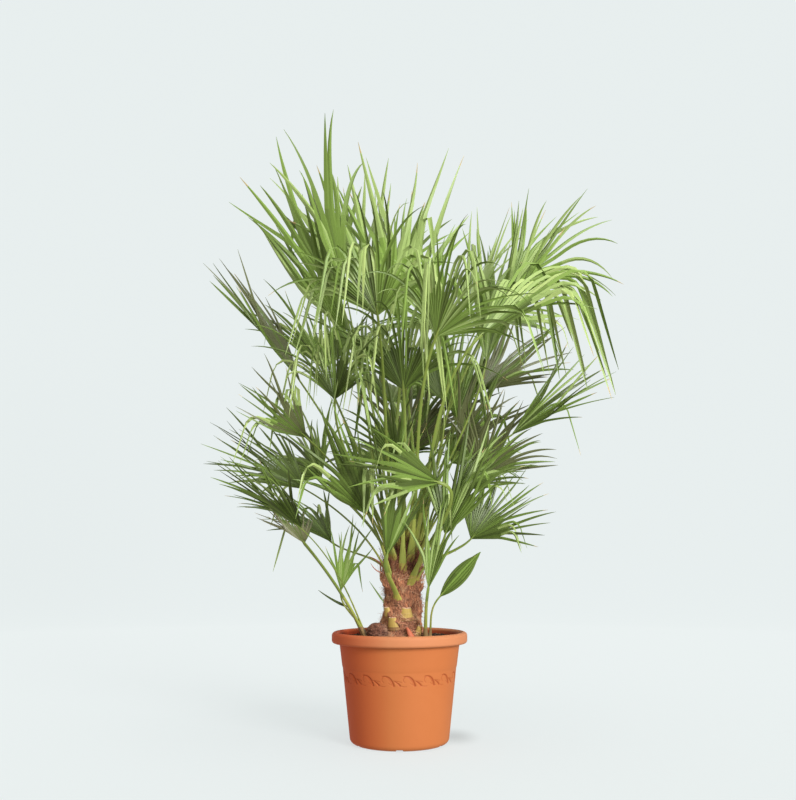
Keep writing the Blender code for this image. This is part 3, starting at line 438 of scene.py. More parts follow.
def leafletPaths(frond, axes, number, own, angle, united):
    # heading(s) = start + sag(s) * down + stray + sickle, and past a fold mostly down;
    # point(s) = hub + the sum of heading up to s
    along, across, face = axes
    group = np.minimum(((own + 0.5) / len(own) * frond["leaflets"]).astype(int), frond["leaflets"] - 1)
    share = np.abs(angle) / math.radians(frond["spread"] / 2)
    length = frond["radius"] * (1 - leaf["sideShortening"] * share ** 2)
    length = length * chance(number, group, "groupLength", *leaf["groupLength"])
    length = length * (1 - leaf["ownShortening"] * chance(number, own, "ownLength") ** 2)
    cosine, sine = np.cos(angle)[:, None], np.sin(angle)[:, None]
    start = unit(cosine * along + sine * across + leaf["coneLift"] * np.abs(sine) * face)
    sideways = -sine * along + cosine * across
    risen = (start[:, 2] > leaf["risenFrom"]) & (frond["name"] in leaf["rising"])  # these stay straight

    steps = (np.arange(leaf["pathSteps"]) + 0.5) / leaf["pathSteps"]
    bendFrom = united * leaf["bendFromShare"]
    weight = frond["droop"] * chance(number, group, "groupBend", *leaf["groupBend"]) * leaf["bendStrength"]
    weight = weight * chance(number, own, "ownBend", *leaf["ownBend"])
    weight = np.where(risen, leaf["risenShare"] * weight, weight)
    sag = weight[:, None] * np.clip((steps - bendFrom) / (1 - bendFrom), 0, 1) ** leaf["sagPower"]
    stray = eitherWay(number, own, "stray") * sideways + eitherWay(number, own, "lift") * face
    free = np.clip((steps - united) / leaf["freeEase"], 0, 1)[:, None]
    sickle = eitherWay(number, own, "sickle") * sideways
    late = np.clip((steps - united) / (1 - united), 0, 1)[:, None] ** 2
    heading = unit(start[:, None] + sag[..., None] * down + free * stray[:, None] + late * sickle[:, None])

    folded, fold = leafletFolds(frond, number, own, group, risen)
    hung = np.where(folded, leaf["hung"] if frond["fold"] > leaf["hungFrom"] else 1.0, 1.0)
    length = hung * length
    fold = np.where(folded, np.maximum(fold / hung, leaf["foldPlace"][0]), fold)
    hang = unit(start * np.array([leaf["hangOut"], leaf["hangOut"], 0.0]) + down)
    over = np.clip((steps - fold[:, None]) / leaf["foldEase"], 0, 1)[..., None]
    heading = unit(heading * (1 - over) + hang[:, None] * over)
    if frond["name"] in leaf["shut"]:  # a blade still closed: its leaflets bow out and meet again at the tip
        bow = leaf["shutWidth"] * angle[:, None] * (1 - leaf["shutTurn"] * steps)
        heading = unit(np.cos(bow)[..., None] * along + np.sin(bow)[..., None] * across)
        length = frond["radius"] * (1 - leaf["shutShortening"] * share ** 2)
    travel = np.cumsum(heading * (length / leaf["pathSteps"])[:, None, None], axis=1)
    path = frond["hub"] + np.concatenate([np.zeros((len(own), 1, 3)), travel], axis=1)
    return path, heading, sideways, fold, hung


def leafletSheets(frond, axes, number):
    # every leaflet of a blade at once. Across, each is a pleat: left edge, rib, right edge, underside of the
    # rib; its width grows over the united palm, holds, and tapers to the tip
    count = max(3, round(frond["spread"] / leaf["pitch"]))
    own = np.arange(count)
    pitch = math.radians(frond["spread"]) / count
    angle = (own + 0.5 - count / 2) * pitch
    united = frond.get("united", leaf["unitedShare"])
    path, heading, sideways, fold, hung = leafletPaths(frond, axes, number, own, angle, united)

    places = np.array(leaf["stations"])
    outer = np.clip((places - united) / (1 - united), 0, 1)
    points = between(path, places * leaf["pathSteps"])
    heading = unit(between(heading, places * leaf["pathSteps"] - 0.5))
    side = unit(sideways[:, None] - (heading * sideways[:, None]).sum(-1, keepdims=True) * heading)
    normal = np.cross(side, heading)
    if frond["name"] in leaf["shut"]:
        narrowing = places - leaf["shutNarrowing"] * places ** 2 + leaf["shutFoot"]
        spacing = leaf["shutWidth"] * pitch * frond["radius"] * narrowing
        width = np.broadcast_to(leaf["shutOverlap"] * spacing, (count, len(places)))[..., None]
        pleat = leaf["shutPleat"]
    else:
        twist = (eitherWay(number, own, "twist") * outer)[..., None]
        side, normal = (side * np.cos(twist) + normal * np.sin(twist),
                        normal * np.cos(twist) - side * np.sin(twist))
        ownUnited = (united * chance(number, own, "united", *leaf["ownUnited"]))[:, None]
        rise = leaf["footWidth"] + np.clip(places / ownUnited, 0, 1)
        full = 0.5 * leaf["overlap"] * pitch * united * frond["radius"]
        width = (rise * np.interp(outer, *zip(*leaf["taper"])) * hung[:, None] ** outer * full)[..., None]
        pleat = (leaf["palmFold"] + (leaf["freeFold"] - leaf["palmFold"]) * outer)[:, None]
    edge = width * (side * np.sqrt(1 - (pleat / 2) ** 2))
    raised = width * pleat / 2 * normal
    thick = np.maximum(leaf["ribThickness"] * (1 - leaf["ribTaper"] * places[:, None]),
                       leaf["ribLeast"] * width)
    section = np.stack([points - edge + raised, points - raised, points + edge + raised,
                        points - raised - thick * normal], axis=2)

    last = (len(places) - 1) * 4
    quads = np.concatenate([gridFaces(len(places), 4, True),
                            [(0, 1, 2, 3), (last + 3, last + 2, last + 1, last)]])
    middle = np.concatenate([np.repeat((places[:-1] + places[1:]) / 2, 4), [0.0, 1.0]])
    slots = leafletTones(frond, number, own, middle, fold)
    return section.reshape(-1, 3), tile(quads, len(places) * 4, count), slots.ravel()


def leafletTones(frond, number, own, middle, fold):
    # plain colours dealt out by place along each leaflet: the frond's own green, or a neighbour of it, lime and
    # pale on what hangs past a fold as painted light shining through it, straw on some tips
    home = toneOrder.index(frondTones.get(frond["name"], "mid"))
    palest = toneOrder.index("pale")
    step = np.array(dealt["steps"])[(chance(number, own, "tone") * len(dealt["steps"])).astype(int)]
    tone = np.where(step < 0, toneOrder.index("leaf"), home)
    if home <= palest:
        tone = np.clip(home + step, 0, palest)
    slots = np.repeat(tone[:, None], len(middle), axis=1)
    lighter = (chance(number, own, "lighter") < dealt["lighterShare"])[:, None]
    slots = slots + (lighter & (middle > dealt["lighterFrom"]) & (slots < palest))
    # painted light: what hangs past a fold takes a paler tone, as if lit through
    hanging = np.array([toneOrder.index(name) for name in dealt["hanging"]])
    hanging = hanging[(chance(number, own, "hanging") * len(hanging)).astype(int)][:, None]
    slots = np.where(middle > fold[:, None] - dealt["limeBefore"], hanging, slots)
    dry = (chance(number, own, "dry") < dealt["dryShare"])[:, None] & (middle > dealt["dryFrom"])
    return np.where(dry, toneOrder.index("straw"), slots)


def petiolePath(frond, along):
    # a cubic curve from the trunk's head, or from the soil, up and out to the hub and a little into the blade
    hub = frond["hub"]
    if "root" in frond:
        start = np.array([*frond["root"], trunk["soilLevel"] + trunk["gap"]])
        rise = unit(unit((hub - start) * (1, 1, 0)) * petiole["rootLean"] + up)
    else:
        bearing, height = frond["seat"]
        outward = outwardAt(bearing)
        start = np.array([*trunkAxis(height), trunk["soilLevel"] + height])
        start = start + outward * max(trunkRadius(height) - petiole["seatDepth"], petiole["seatLeast"])
        rise = unit(outward * petiole["seatLean"] + up)
    reach = np.linalg.norm(hub - start)
    corners = (start, start + rise * reach * petiole["footPull"],
               hub - along * reach * petiole["hubPull"], hub)
    t = np.linspace(0, 1, petiole["steps"])[:, None] ** petiole["stepPower"]
    curve = ((1 - t) ** 3 * corners[0] + 3 * t * (1 - t) ** 2 * corners[1]
             + 3 * t ** 2 * (1 - t) * corners[2] + t ** 3 * corners[3])
    return np.vstack([curve, hub + along * petiole["intoBlade"] * 0.5, hub + along * petiole["intoBlade"]])


def addPetiole(sheaf, frond, axes, number):
    # radius(s) = base to end, plus a flare that falls away with a power of the way up
    path = petiolePath(frond, axes[0])
    lengths = np.concatenate([[0], np.cumsum(np.linalg.norm(np.diff(path, axis=0), axis=1))])
    s = lengths / lengths[-1]
    flare = petiole["flare"] * (petiole["soilFlare"] if "root" in frond else 1.0)
    broad = petiole["broad"].get(frond["name"], 1.0)
    radii = (petiole["baseRadius"] + (petiole["endRadius"] - petiole["baseRadius"]) * s) * broad
    radii = radii + flare * np.clip(1 - s / petiole["flareShare"], 0, 1) ** petiole["flarePower"]
    radii[-2:] = petiole["endRadius"] * np.array(petiole["bladeEnd"])
    middle = path[len(path) // 3]
    outward = unit(middle - np.array([*trunk["head"], middle[2]]))
    points, quads = carried(path[None], radii[None], petiole["sides"], petiole["squash"], outward)
    slots = np.full(len(quads), toneOrder.index("stalk"))
    foot = "stalkRoot" if "root" in frond else "stalkFoot"
    for reach, tone in ((petiole["lowReach"], "stalkLow"), (petiole["footReach"], foot)):
        slots[:int(np.searchsorted(lengths, reach)) * petiole["sides"]] = toneOrder.index(tone)
    sheaf.add(points, quads, slots)
    addSpines(sheaf, number, path, lengths, radii, outward)


def addSpines(sheaf, number, path, lengths, radii, outward):
    # small three-sided thorns that alternate along a petiole's two edges
    places = np.arange(spines["first"], lengths[-1] * spines["share"], spines["spacing"])
    if len(places) == 0:
        return
    ahead = unit(np.gradient(path, axis=0))
    spot, forward, flank = (np.stack([np.interp(places, lengths, values[:, k]) for k in range(3)], axis=-1)
                            for values in (path, ahead, unit(np.cross(ahead, outward))))
    own = np.arange(len(places))
    flank = flank * np.where(own % 2, 1, -1)[:, None]
    root = spot + flank * np.interp(places, lengths, radii)[:, None] * spines["sunk"]
    size = spines["length"] * chance(number, own, "spine", *spines["ownLength"])[:, None]
    tip = root + (flank * spines["out"] + forward * spines["ahead"]) * size
    thick, half = np.cross(forward, flank) * spines["thickness"], forward * spines["halfWidth"]
    faces = np.array([(0, 1, 3, 3), (1, 2, 3, 3), (2, 0, 3, 3), (0, 2, 1, 1)])
    sheaf.add(np.stack([root - half, root + half, root + thick, tip], axis=1),
              tile(faces, 4, len(places)), toneOrder.index("spine"))


def buildFronds():
    materials = []
    for name, tone in leafTones.items():
        roughness = leafGloss["dryRoughness"] if name in leafGloss["dry"] else leafGloss["roughness"]
        sockets = {"Specular IOR Level": leafGloss["specular"]}
        materials.append(newMaterial(name + "Leaf", tone, roughness, **sockets)[0])
    for number, frond in enumerate(fronds):
        frond["hub"] = np.array(frond["hub"])
        axes = frondAxes(frond)
        sheaf = Sheaf()
        sheaf.add(*leafletSheets(frond, axes, number))
        addPetiole(sheaf, frond, axes, number)
        piece = sheaf.piece(frond["name"] + "Leaves", materials)
        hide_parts(frond["name"])
        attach(piece, "root")
    print("fronds:", len(fronds))
    buildStrays(materials)


# dry and stray leaflets beside the stems: three points of a bow, the half width, and the tone
strays = (((-0.116, -0.020, 0.330), (-0.155, -0.022, 0.342), (-0.197, -0.024, 0.374), 0.0030, "deep"),
          ((-0.037, -0.030, 0.344), (-0.050, -0.033, 0.362), (-0.073, -0.035, 0.396), 0.0019, "mid"),
          ((-0.040, -0.010, 0.432), (-0.056, -0.012, 0.450), (-0.076, -0.014, 0.456), 0.0016, "rust"),
          ((-0.038, -0.020, 0.415), (-0.060, -0.025, 0.418), (-0.070, -0.026, 0.440), 0.0014, "rust"),
          ((0.056, -0.010, 0.396), (0.062, -0.015, 0.420), (0.076, -0.020, 0.436), 0.0014, "straw"))
strayShape = dict(places=12, foot=0.15, rise=4, fall=1.6, fallPower=0.7, sides=6, squash=0.22,
                  facing=(0.0, -1.0, 0.3))


def buildStrays(materials):
    # each a bow, its width rising fast and falling to a point
    sheaf = Sheaf()
    t = np.linspace(0, 1, strayShape["places"])
    growth = np.minimum(strayShape["rise"] * t, strayShape["fall"] * (1 - t) ** strayShape["fallPower"])
    for start, middle, end, width, tone in strays:
        path = bowed(t, start, middle, end)
        radii = width * (strayShape["foot"] + (1 - strayShape["foot"]) * growth)
        points, quads = carried(path[None], radii[None], strayShape["sides"], strayShape["squash"],
                                strayShape["facing"])
        sheaf.add(points, quads, toneOrder.index(tone))
    piece = sheaf.piece("strayLeaflets", materials)
    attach(piece, "root")
    print("stray leaflets:", len(strays))


# noise layers are cells around, cells up, seed and slant; tufts are bearing in degrees, height and reach
trunk = dict(soilLevel=0.260, gap=0.0003, foot=(0.007, 0.000), head=(0.011, 0.000), rows=190, columns=330,
             profile=((0.0, 0.0560), (0.022, 0.0510), (0.060, 0.0475), (0.110, 0.0452), (0.150, 0.0430),
                      (0.185, 0.0390), (0.212, 0.0300), (0.230, 0.0170)),
             bossTurns=5, bossRows=9, bossDepth=0.10, headRelief=0.35,
             crags=((9, 12, 3, 0.35), (21, 30, 6, -0.5)), cragShares=(0.6, 0.4), cragLevel=0.55,
             cragRelief=0.0120, clumps=(6, 5, 17, 0.2), clumpLevel=0.6, clumpRelief=0.0096,
             strands=((100, 34, 4, 0.9), (84, 30, 5, -0.7)), strandRelief=0.0026,
             tufts=((182, 0.142, 0.011), (205, 0.128, 0.008), (-12, 0.118, 0.008), (-150, 0.098, 0.006),
                    (2, 0.155, 0.009), (-95, 0.060, 0.005), (-60, 0.088, 0.005)),
             tuftTurn=0.30, tuftHeight=0.011,
             tones=((0.110, 0.042, 0.028), (0.580, 0.250, 0.130), (0.560, 0.340, 0.200)))
stub = dict(flare=1.65, top=0.82, narrowing=0.7, squash=0.62, steps=9, sides=14, out=0.30, up=0.95, sunk=0.8,
            footRows=2,
            places=((-119, 0.021, 0.030, 0.0115), (-79, 0.044, 0.030, 0.0130), (-142, 0.046, 0.028, 0.0095),
                    (-42, 0.004, 0.026, 0.0085), (60, 0.040, 0.034, 0.0105), (150, 0.055, 0.032, 0.0100)))
# loose fibres: lane is how far they leave the swirl's angle, pairs are least and most
fibre = dict(points=6, sides=3, radius=0.00045, tip=0.4, thickness=(0.7, 1.6), sunk=0.0012, lane=0.5,
             lean=0.22, bow=0.6, bowAside=0.7, bowOut=(-0.5, 0.1), bowUp=(-0.6, 0.4), toneSpread=0.3,
             aboveSoil=0.001, paintedCrestLightFrom=0.86, paintedCrestLightRange=0.30, swirl=(7, 6, 15), swirlTurns=0.9,
             headFrom=0.13, headSwirl=0.3, headLane=1.2, stubTurn=0.30, stubRise=0.016, stubReach=0.05,
             wall=dict(count=4200, seed=7, tones=4, length=(0.010, 0.034), upward=0.8, loose=1.0),
             head=dict(count=1300, seed=8, tones=2, length=(0.015, 0.045), upward=1.5, loose=2.0))
fibreTones = dict(fibreDark=(0.150, 0.060, 0.040), fibreBrown=(0.430, 0.185, 0.105),
                  fibreRust=(0.640, 0.300, 0.170), fibreStraw=(0.780, 0.530, 0.330))
woodGrain = dict(roughness=0.92, strandScale=260, strandDetail=4, strandRoughness=0.7, stretch=(1, 1, 0.22),
                 light=(0.36, 0.62), patchScale=38, patchDetail=3, patchRoughness=0.6, grey=(0.52, 0.72),
                 bump=0.002, bumpStrength=0.6)


def woodMaterial(name, dark, light, grey):
    # strands: noise stretched upwards mixes the dark and light browns, a second patchy noise greys them
    material, tree, shader = newMaterial(name, light, woodGrain["roughness"])
    strands = objectNoise(tree, woodGrain["strandScale"], woodGrain["strandDetail"],
                          woodGrain["strandRoughness"], woodGrain["stretch"])
    patches = objectNoise(tree, woodGrain["patchScale"], woodGrain["patchDetail"],
                          woodGrain["patchRoughness"])
    brown = mixColors(tree, shareOf(tree, strands, *woodGrain["light"]), dark, light)
    greyed = mixColors(tree, shareOf(tree, patches, *woodGrain["grey"]), brown, grey)
    feed(tree, shader, "Base Color", greyed)
    bumpFrom(tree, shader, strands, woodGrain["bump"], woodGrain["bumpStrength"])
    return material


def finishWood(piece):
    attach(piece, "root")


def trunkAxis(height):
    share = np.asarray(height)[..., None] / trunk["profile"][-1][0]
    return np.array(trunk["foot"]) + (np.array(trunk["head"]) - np.array(trunk["foot"])) * share


def trunkRadius(height):
    heights, radii = zip(*trunk["profile"])
    return np.interp(height, heights, radii)


def trunkPoint(u, v):
    # point = axis(v) + radius(v) * (1 - depth / 2 + swell) + crags + clumps + strands + tufts, out along the
    # bearing u
    height = v * trunk["profile"][-1][0]
    fade = np.clip(1 - height / trunk["profile"][-2][0], 0, 1) ** 0.5
    wave = np.sin(math.tau * (trunk["bossTurns"] * u + trunk["bossRows"] * v / 2))
    swell = trunk["bossDepth"] * fade * ((0.5 + 0.5 * wave) ** 2 - 0.5)
    crags = sum(share * latticeNoise(u, v, *layer)
                for share, layer in zip(trunk["cragShares"], trunk["crags"]))
    strands = sum(latticeNoise(u, v, *layer) for layer in trunk["strands"]) - 1.0
    relief = ((crags - trunk["cragLevel"]) * trunk["cragRelief"] + strands * trunk["strandRelief"]
              + (latticeNoise(u, v, *trunk["clumps"]) - trunk["clumpLevel"]) * trunk["clumpRelief"])
    radius = trunkRadius(height) * (1 + swell)
    radius = radius + relief * (trunk["headRelief"] + (1 - trunk["headRelief"]) * fade)
    for bearing, middle, reach in trunk["tufts"]:
        aside = (math.tau * u - math.radians(bearing) + math.pi) % math.tau - math.pi
        radius = radius + reach * np.exp(-(aside / trunk["tuftTurn"]) ** 2
                                         - ((height - middle) / trunk["tuftHeight"]) ** 2)
    axis = trunkAxis(height)
    return np.stack([axis[..., 0] + radius * np.cos(math.tau * u),
                     axis[..., 1] + radius * np.sin(math.tau * u),
                     trunk["soilLevel"] + trunk["gap"] + height], axis=-1)


def strandsOn(sheaf, roots, strand):
    # loose fibres: each leaves a random point along the swirl's angle there and curls; its tone differs at
    # random and runs dark from a hollow and light from a crest, as painted shade and painted light;
    # path = root + t * way + t^2 * curl
    points, outwards, swirl, paintedCrestLight = roots
    count, loose, tones = strand["count"], strand["loose"], strand["tones"]
    random = np.random.default_rng(strand["seed"])

    def draw(low, high):
        return random.uniform(low, high, (count, 1))

    picks = random.integers(0, len(points), count)
    out = outwards[picks]
    sideways = unit(np.cross(out, (0.02, 0.01, 1.0)))
    length = draw(*strand["length"])
    lane = swirl[picks][:, None] + draw(-fibre["lane"], fibre["lane"])
    way = (out * draw(0.0, fibre["lean"]) * loose + sideways * np.cos(lane)
           + up * np.sin(lane) * strand["upward"])
    curl = (sideways * draw(-fibre["bowAside"], fibre["bowAside"]) + out * draw(*fibre["bowOut"]) * loose
            + up * draw(*fibre["bowUp"]))
    t = np.linspace(0, 1, fibre["points"])[None, :, None]
    reach = length[:, None] * (t * way[:, None] + t * t * fibre["bow"] * curl[:, None])
    paths = (points[picks] - out * fibre["sunk"])[:, None] + reach
    paths[..., 2] = np.maximum(paths[..., 2], trunk["soilLevel"] + fibre["aboveSoil"])
    radii = fibre["radius"] * np.linspace(1, fibre["tip"], fibre["points"])[None] * draw(*fibre["thickness"])
    tubes, quads = carried(paths, radii, fibre["sides"])
    tone = paintedCrestLight[picks] + random.uniform(-fibre["toneSpread"], fibre["toneSpread"], count)
    tone = np.clip(tone * tones, 0, tones - 1).astype(int)
    sheaf.add(tubes, quads, np.repeat(tone, len(quads) // count))


def buildTrunk():
    u, v = np.meshgrid(np.arange(trunk["columns"]) / trunk["columns"], np.linspace(0, 1, trunk["rows"]))
    points = trunkPoint(u, v)
    piece = meshFrom("trunkBark", points, gridFaces(trunk["rows"], trunk["columns"], True),
                     [woodMaterial("trunkBark", *trunk["tones"])],
                     caps=closedRows(trunk["rows"], trunk["columns"]))
    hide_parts("trunk")
    finishWood(piece)
    print("trunk:", u.size, "points")

    height = v * trunk["profile"][-1][0]
    away = np.linalg.norm(points[..., :2] - trunkAxis(height), axis=-1) / trunkRadius(height)
    # painted shade and light: 0 in the hollows to 1 on the crests, darkening the fibres' tones in hollows and
    # lifting them on crests
    paintedCrestLight = np.clip((away - fibre["paintedCrestLightFrom"]) / fibre["paintedCrestLightRange"], 0, 1).ravel()
    swirl = math.tau * fibre["swirlTurns"] * latticeNoise(u, v, *fibre["swirl"]).ravel()
    outwards = np.stack([np.cos(math.tau * u), np.sin(math.tau * u), 0 * u], axis=-1).reshape(-1, 3)
    roots = (points.reshape(-1, 3), outwards, swirl, paintedCrestLight)
    bearings, heights = (np.array(values) for values in list(zip(*stub["places"]))[:2])
    aside = (math.tau * u.reshape(-1, 1) - np.radians(bearings) + math.pi) % math.tau - math.pi
    above = (height.reshape(-1, 1) + trunk["gap"] - heights - fibre["stubRise"]) / fibre["stubReach"]
    bare = (np.hypot(aside, above) < fibre["stubTurn"]).any(1)  # no strands root across a stub
    sheaf = Sheaf()
    strandsOn(sheaf, [values[~bare] for values in roots], fibre["wall"])
    top = height.ravel() + trunk["gap"] > fibre["headFrom"]
    headRoots = (*roots[:2], swirl * fibre["headSwirl"] + fibre["headLane"], paintedCrestLight)
    strandsOn(sheaf, [values[top] for values in headRoots], fibre["head"])
    finishWood(sheaf.piece("trunkFibres", plainMaterials(0.85, fibreTones)))
    print("fibres:", fibre["wall"]["count"] + fibre["head"]["count"])


def buildStubs():
    # old leaf bases, cut short: flat tapering sections carried up and out, with a fresh cut on top
    materials = [newMaterial(name, tone, roughness)[0] for name, tone, roughness in
                 (("stubSide", (0.620, 0.440, 0.120), 0.55), ("stubCut", (0.880, 0.620, 0.440), 0.7),
                  ("stubFoot", (0.330, 0.180, 0.070), 0.8))]
    sheaf = Sheaf()
    s = np.linspace(0, 1, stub["steps"])
    for bearing, height, length, radius in stub["places"]:
        outward = outwardAt(bearing)
        root = np.array([*trunkAxis(height), trunk["soilLevel"] + height])
        root = root + outward * (trunkRadius(height) - stub["sunk"] * radius)
        path = root + (outward * stub["out"] + up * stub["up"]) * (length * s)[:, None]
        radii = radius * (stub["flare"] + (stub["top"] - stub["flare"]) * s ** stub["narrowing"])
        points, quads = carried(path[None], radii[None], stub["sides"], stub["squash"], outward)
        slots = np.zeros(len(quads), int)
        slots[:stub["footRows"] * stub["sides"]] = 2
        slots[-stub["sides"]:] = 1
        sheaf.add(points, quads, slots)
    finishWood(sheaf.piece("petioleStubs", materials))
    print("stubs:", len(stub["places"]))


bud = dict(place=(-0.053, -0.045), size=(0.025, 0.022, 0.021), seated=0.72, sunk=0.002, rows=64, columns=96,
           weave=((26, 14, 21, 0.6), (22, 12, 22, -0.6)), weaveDepth=0.20, poleGap=0.004,
           strands=dict(count=420, seed=11, tones=2, length=(0.008, 0.020), upward=0.8, loose=1.0),
           laneTurn=1.4, laneFoot=0.3,
           tones=((0.070, 0.027, 0.018), (0.280, 0.115, 0.068), (0.360, 0.215, 0.140)),
           strandTones=dict(budFibre=(0.095, 0.040, 0.030), budFibreLight=(0.260, 0.120, 0.078)))


def buildBud():
    # an ellipsoid with a spiral weave: radius * (1 + depth * noise along two slants), flat on the soil
    u, v = np.meshgrid(np.arange(bud["columns"]) / bud["columns"], np.linspace(0, 1, bud["rows"]))
    weave = sum(latticeNoise(u, v, *layer) for layer in bud["weave"]) - 1.0
    polar = math.pi * (bud["poleGap"] + (1 - 2 * bud["poleGap"]) * v)
    swell = 1 + bud["weaveDepth"] * weave * np.sin(polar)
    soilTop = trunk["soilLevel"] + trunk["gap"]
    centre = np.array([*bud["place"], soilTop + bud["size"][2] * bud["seated"]])
    ways = np.stack([np.sin(polar) * np.cos(math.tau * u), np.sin(polar) * np.sin(math.tau * u),
                     -np.cos(polar)], axis=-1)
    points = centre + ways * swell[..., None] * np.array(bud["size"])
    points[..., 2] = np.maximum(points[..., 2], soilTop - bud["sunk"] * (1 - v))
    piece = meshFrom("budBark", points, gridFaces(bud["rows"], bud["columns"], True),
                     [woodMaterial("budBark", *bud["tones"])], caps=closedRows(bud["rows"], bud["columns"]))
    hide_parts("offshootBud")
    finishWood(piece)
    lanes = math.pi * (bud["laneTurn"] * v + bud["laneFoot"])
    sheaf = Sheaf()
    # painted shade and light: the weave's hollows darken the fibres' tones and its crests lift them
    strandsOn(sheaf, (points.reshape(-1, 3), ways.reshape(-1, 3), lanes.ravel(), 0.5 + weave.ravel()),
              bud["strands"])
    finishWood(sheaf.piece("budFibres", plainMaterials(0.9, bud["strandTones"])))
    print("bud:", bud["strands"]["count"], "fibres")


sheath = dict(bearing=-68, level=0.02, height=0.026, width=0.0085, narrowing=0.7, narrowPower=1.4,
              thickness=0.0012, away=0.010, hollow=0.004, lean=0.004, aside=0.012, rows=14, columns=9,
              tone=(0.640, 0.170, 0.085))


def buildDrySheath():
    # a dry leaf base against the trunk's foot: a curved strip that narrows upwards, hollow toward the trunk
    u, v = np.meshgrid(np.linspace(-1, 1, sheath["columns"]), np.linspace(0, 1, sheath["rows"]))
    spread = u * sheath["width"] * (1 - sheath["narrowing"] * v ** sheath["narrowPower"]) - sheath["aside"] * v
    away = trunkRadius(sheath["level"]) + sheath["away"] - sheath["hollow"] * u ** 2 + sheath["lean"] * (1 - v)
    out = outwardAt(sheath["bearing"])
    height = trunk["soilLevel"] + sheath["height"] * v
    outer = np.stack([trunk["foot"][0] + out[0] * away - out[1] * spread,
                      trunk["foot"][1] + out[1] * away + out[0] * spread, height], axis=-1)
    piece = meshFrom("drySheath", outer, gridFaces(sheath["rows"], sheath["columns"]),
                     [newMaterial("drySheath", sheath["tone"], 0.6)[0]])
    shell = piece.modifiers.new("thickness", "SOLIDIFY")
    shell.thickness = sheath["thickness"]
    shell.offset = 0
    finishWood(piece)
    print("dry sheath: one strip")


# lump layers are cells each way and seed
soil = dict(level=0.260, radius=0.1404, skirt=0.030, rows=56, columns=160, centre=0.002, lumpSpan=0.3,
            lumps=((24, 24, 8), (70, 70, 9)), lumpShares=(0.6, 0.4), lumpHeight=0.0030, roughness=0.97,
            tone=(0.020, 0.012, 0.008), grains=((0.010, 0.006, 0.004), (0.075, 0.045, 0.027)),
            grain=(420, 5, 0.75), grainFrom=(0.45, 0.75), bump=(0.003, 0.8))
crumb = dict(count=520, seed=5, ring=(0.12, 0.97), size=(0.0010, 0.0034), squash=(0.6, 1.0), skew=0.3,
             sunk=0.0005, barkShare=0.35, darkTone=(0.022, 0.013, 0.008), barkTone=(0.120, 0.070, 0.040))


def finishSoil(piece):
    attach(piece, "root")


def buildSoil():
    # height(r, a) = level + height * noise; the disc turns down into a skirt and closes below
    u, v = np.meshgrid(np.arange(soil["columns"]) / soil["columns"],
                       np.linspace(soil["centre"], 1, soil["rows"]))
    x, y = v * soil["radius"] * np.cos(math.tau * u), v * soil["radius"] * np.sin(math.tau * u)
    across, along = x / soil["lumpSpan"] + 0.5, y / soil["lumpSpan"] + 0.5
    lump = sum(share * latticeNoise(across, along, *layer)
               for share, layer in zip(soil["lumpShares"], soil["lumps"]))
    top = np.stack([x, y, soil["level"] + soil["lumpHeight"] * (lump - 1.0)], axis=-1)
    under = top[::-1].copy()
    under[..., 2] = soil["level"] - soil["skirt"]
    rows = 2 * soil["rows"]
    material, tree, shader = newMaterial("pottingMix", soil["tone"], soil["roughness"])
    grain = objectNoise(tree, *soil["grain"])
    feed(tree, shader, "Base Color", mixColors(tree, shareOf(tree, grain, *soil["grainFrom"]), *soil["grains"]))
    bumpFrom(tree, shader, grain, *soil["bump"])
    piece = meshFrom("soilSurface", np.concatenate([top, under]),
                     gridFaces(rows, soil["columns"], True)[:, ::-1], [material],
                     caps=[cap[::-1] for cap in closedRows(rows, soil["columns"])])
    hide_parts("soil")
    finishSoil(piece)
    buildCrumbs()


def buildCrumbs():
    # eight-sided lumps strewn over the disc: spot + corner * size + a skew of each corner
    random = np.random.default_rng(crumb["seed"])
    count = crumb["count"]
    corners = np.array([(1, 0, 0), (-1, 0, 0), (0, 1, 0), (0, -1, 0), (0, 0, 1), (0, 0, -1)], float)
    sides = np.array([(0, 2, 4, 4), (2, 1, 4, 4), (1, 3, 4, 4), (3, 0, 4, 4), (2, 0, 5, 5), (1, 2, 5, 5),
                      (3, 1, 5, 5), (0, 3, 5, 5)])
    bearing = random.uniform(0, math.tau, count)
    reach = soil["radius"] * np.sqrt(random.uniform(*crumb["ring"], count))
    size = random.uniform(*crumb["size"], (count, 1, 1)) * random.uniform(*crumb["squash"], (count, 1, 3))
    spot = np.stack([reach * np.cos(bearing), reach * np.sin(bearing),
                     np.full(count, soil["level"] - crumb["sunk"])], -1)
    skew = random.uniform(-crumb["skew"], crumb["skew"], (count, 6, 3)) * size.min(-1, keepdims=True)
    sheaf = Sheaf()
    sheaf.add(spot[:, None] + corners * size + skew, tile(sides, 6, count),
              np.repeat(random.random(count) < crumb["barkShare"], 8))
    finishSoil(sheaf.piece("soilCrumbs", [newMaterial("crumbDark", crumb["darkTone"], 0.97)[0],
                                          newMaterial("crumbBark", crumb["barkTone"], 0.9)[0]]))
    print("soil:", count, "crumbs")


pot = dict(height=0.272, rimRadius=0.1655, wallTop=0.1446, foot=0.1220, footRounding=0.015, lipHeight=0.027,
           lipWidth=0.0185, lipRounding=0.0088, lipStraight=0.007, lipEdge=0.0065, neckRounding=0.003,
           wallEnd=0.018, wall=0.0036, floor=0.006, columns=935, hole=0.0006, innerEdge=0.001,
           notches=6, notchTurn=0.25, notchWidth=0.017, notchHeight=0.004, notchEase=0.003, notchReach=0.016,
           bandHeight=0.1685, bandReach=0.018, bandDepth=0.0018, bandGirth=0.015, repeats=17,
           step=0.0016, stepAbove=0.004, stepBelow=0.002, lowStep=0.6)
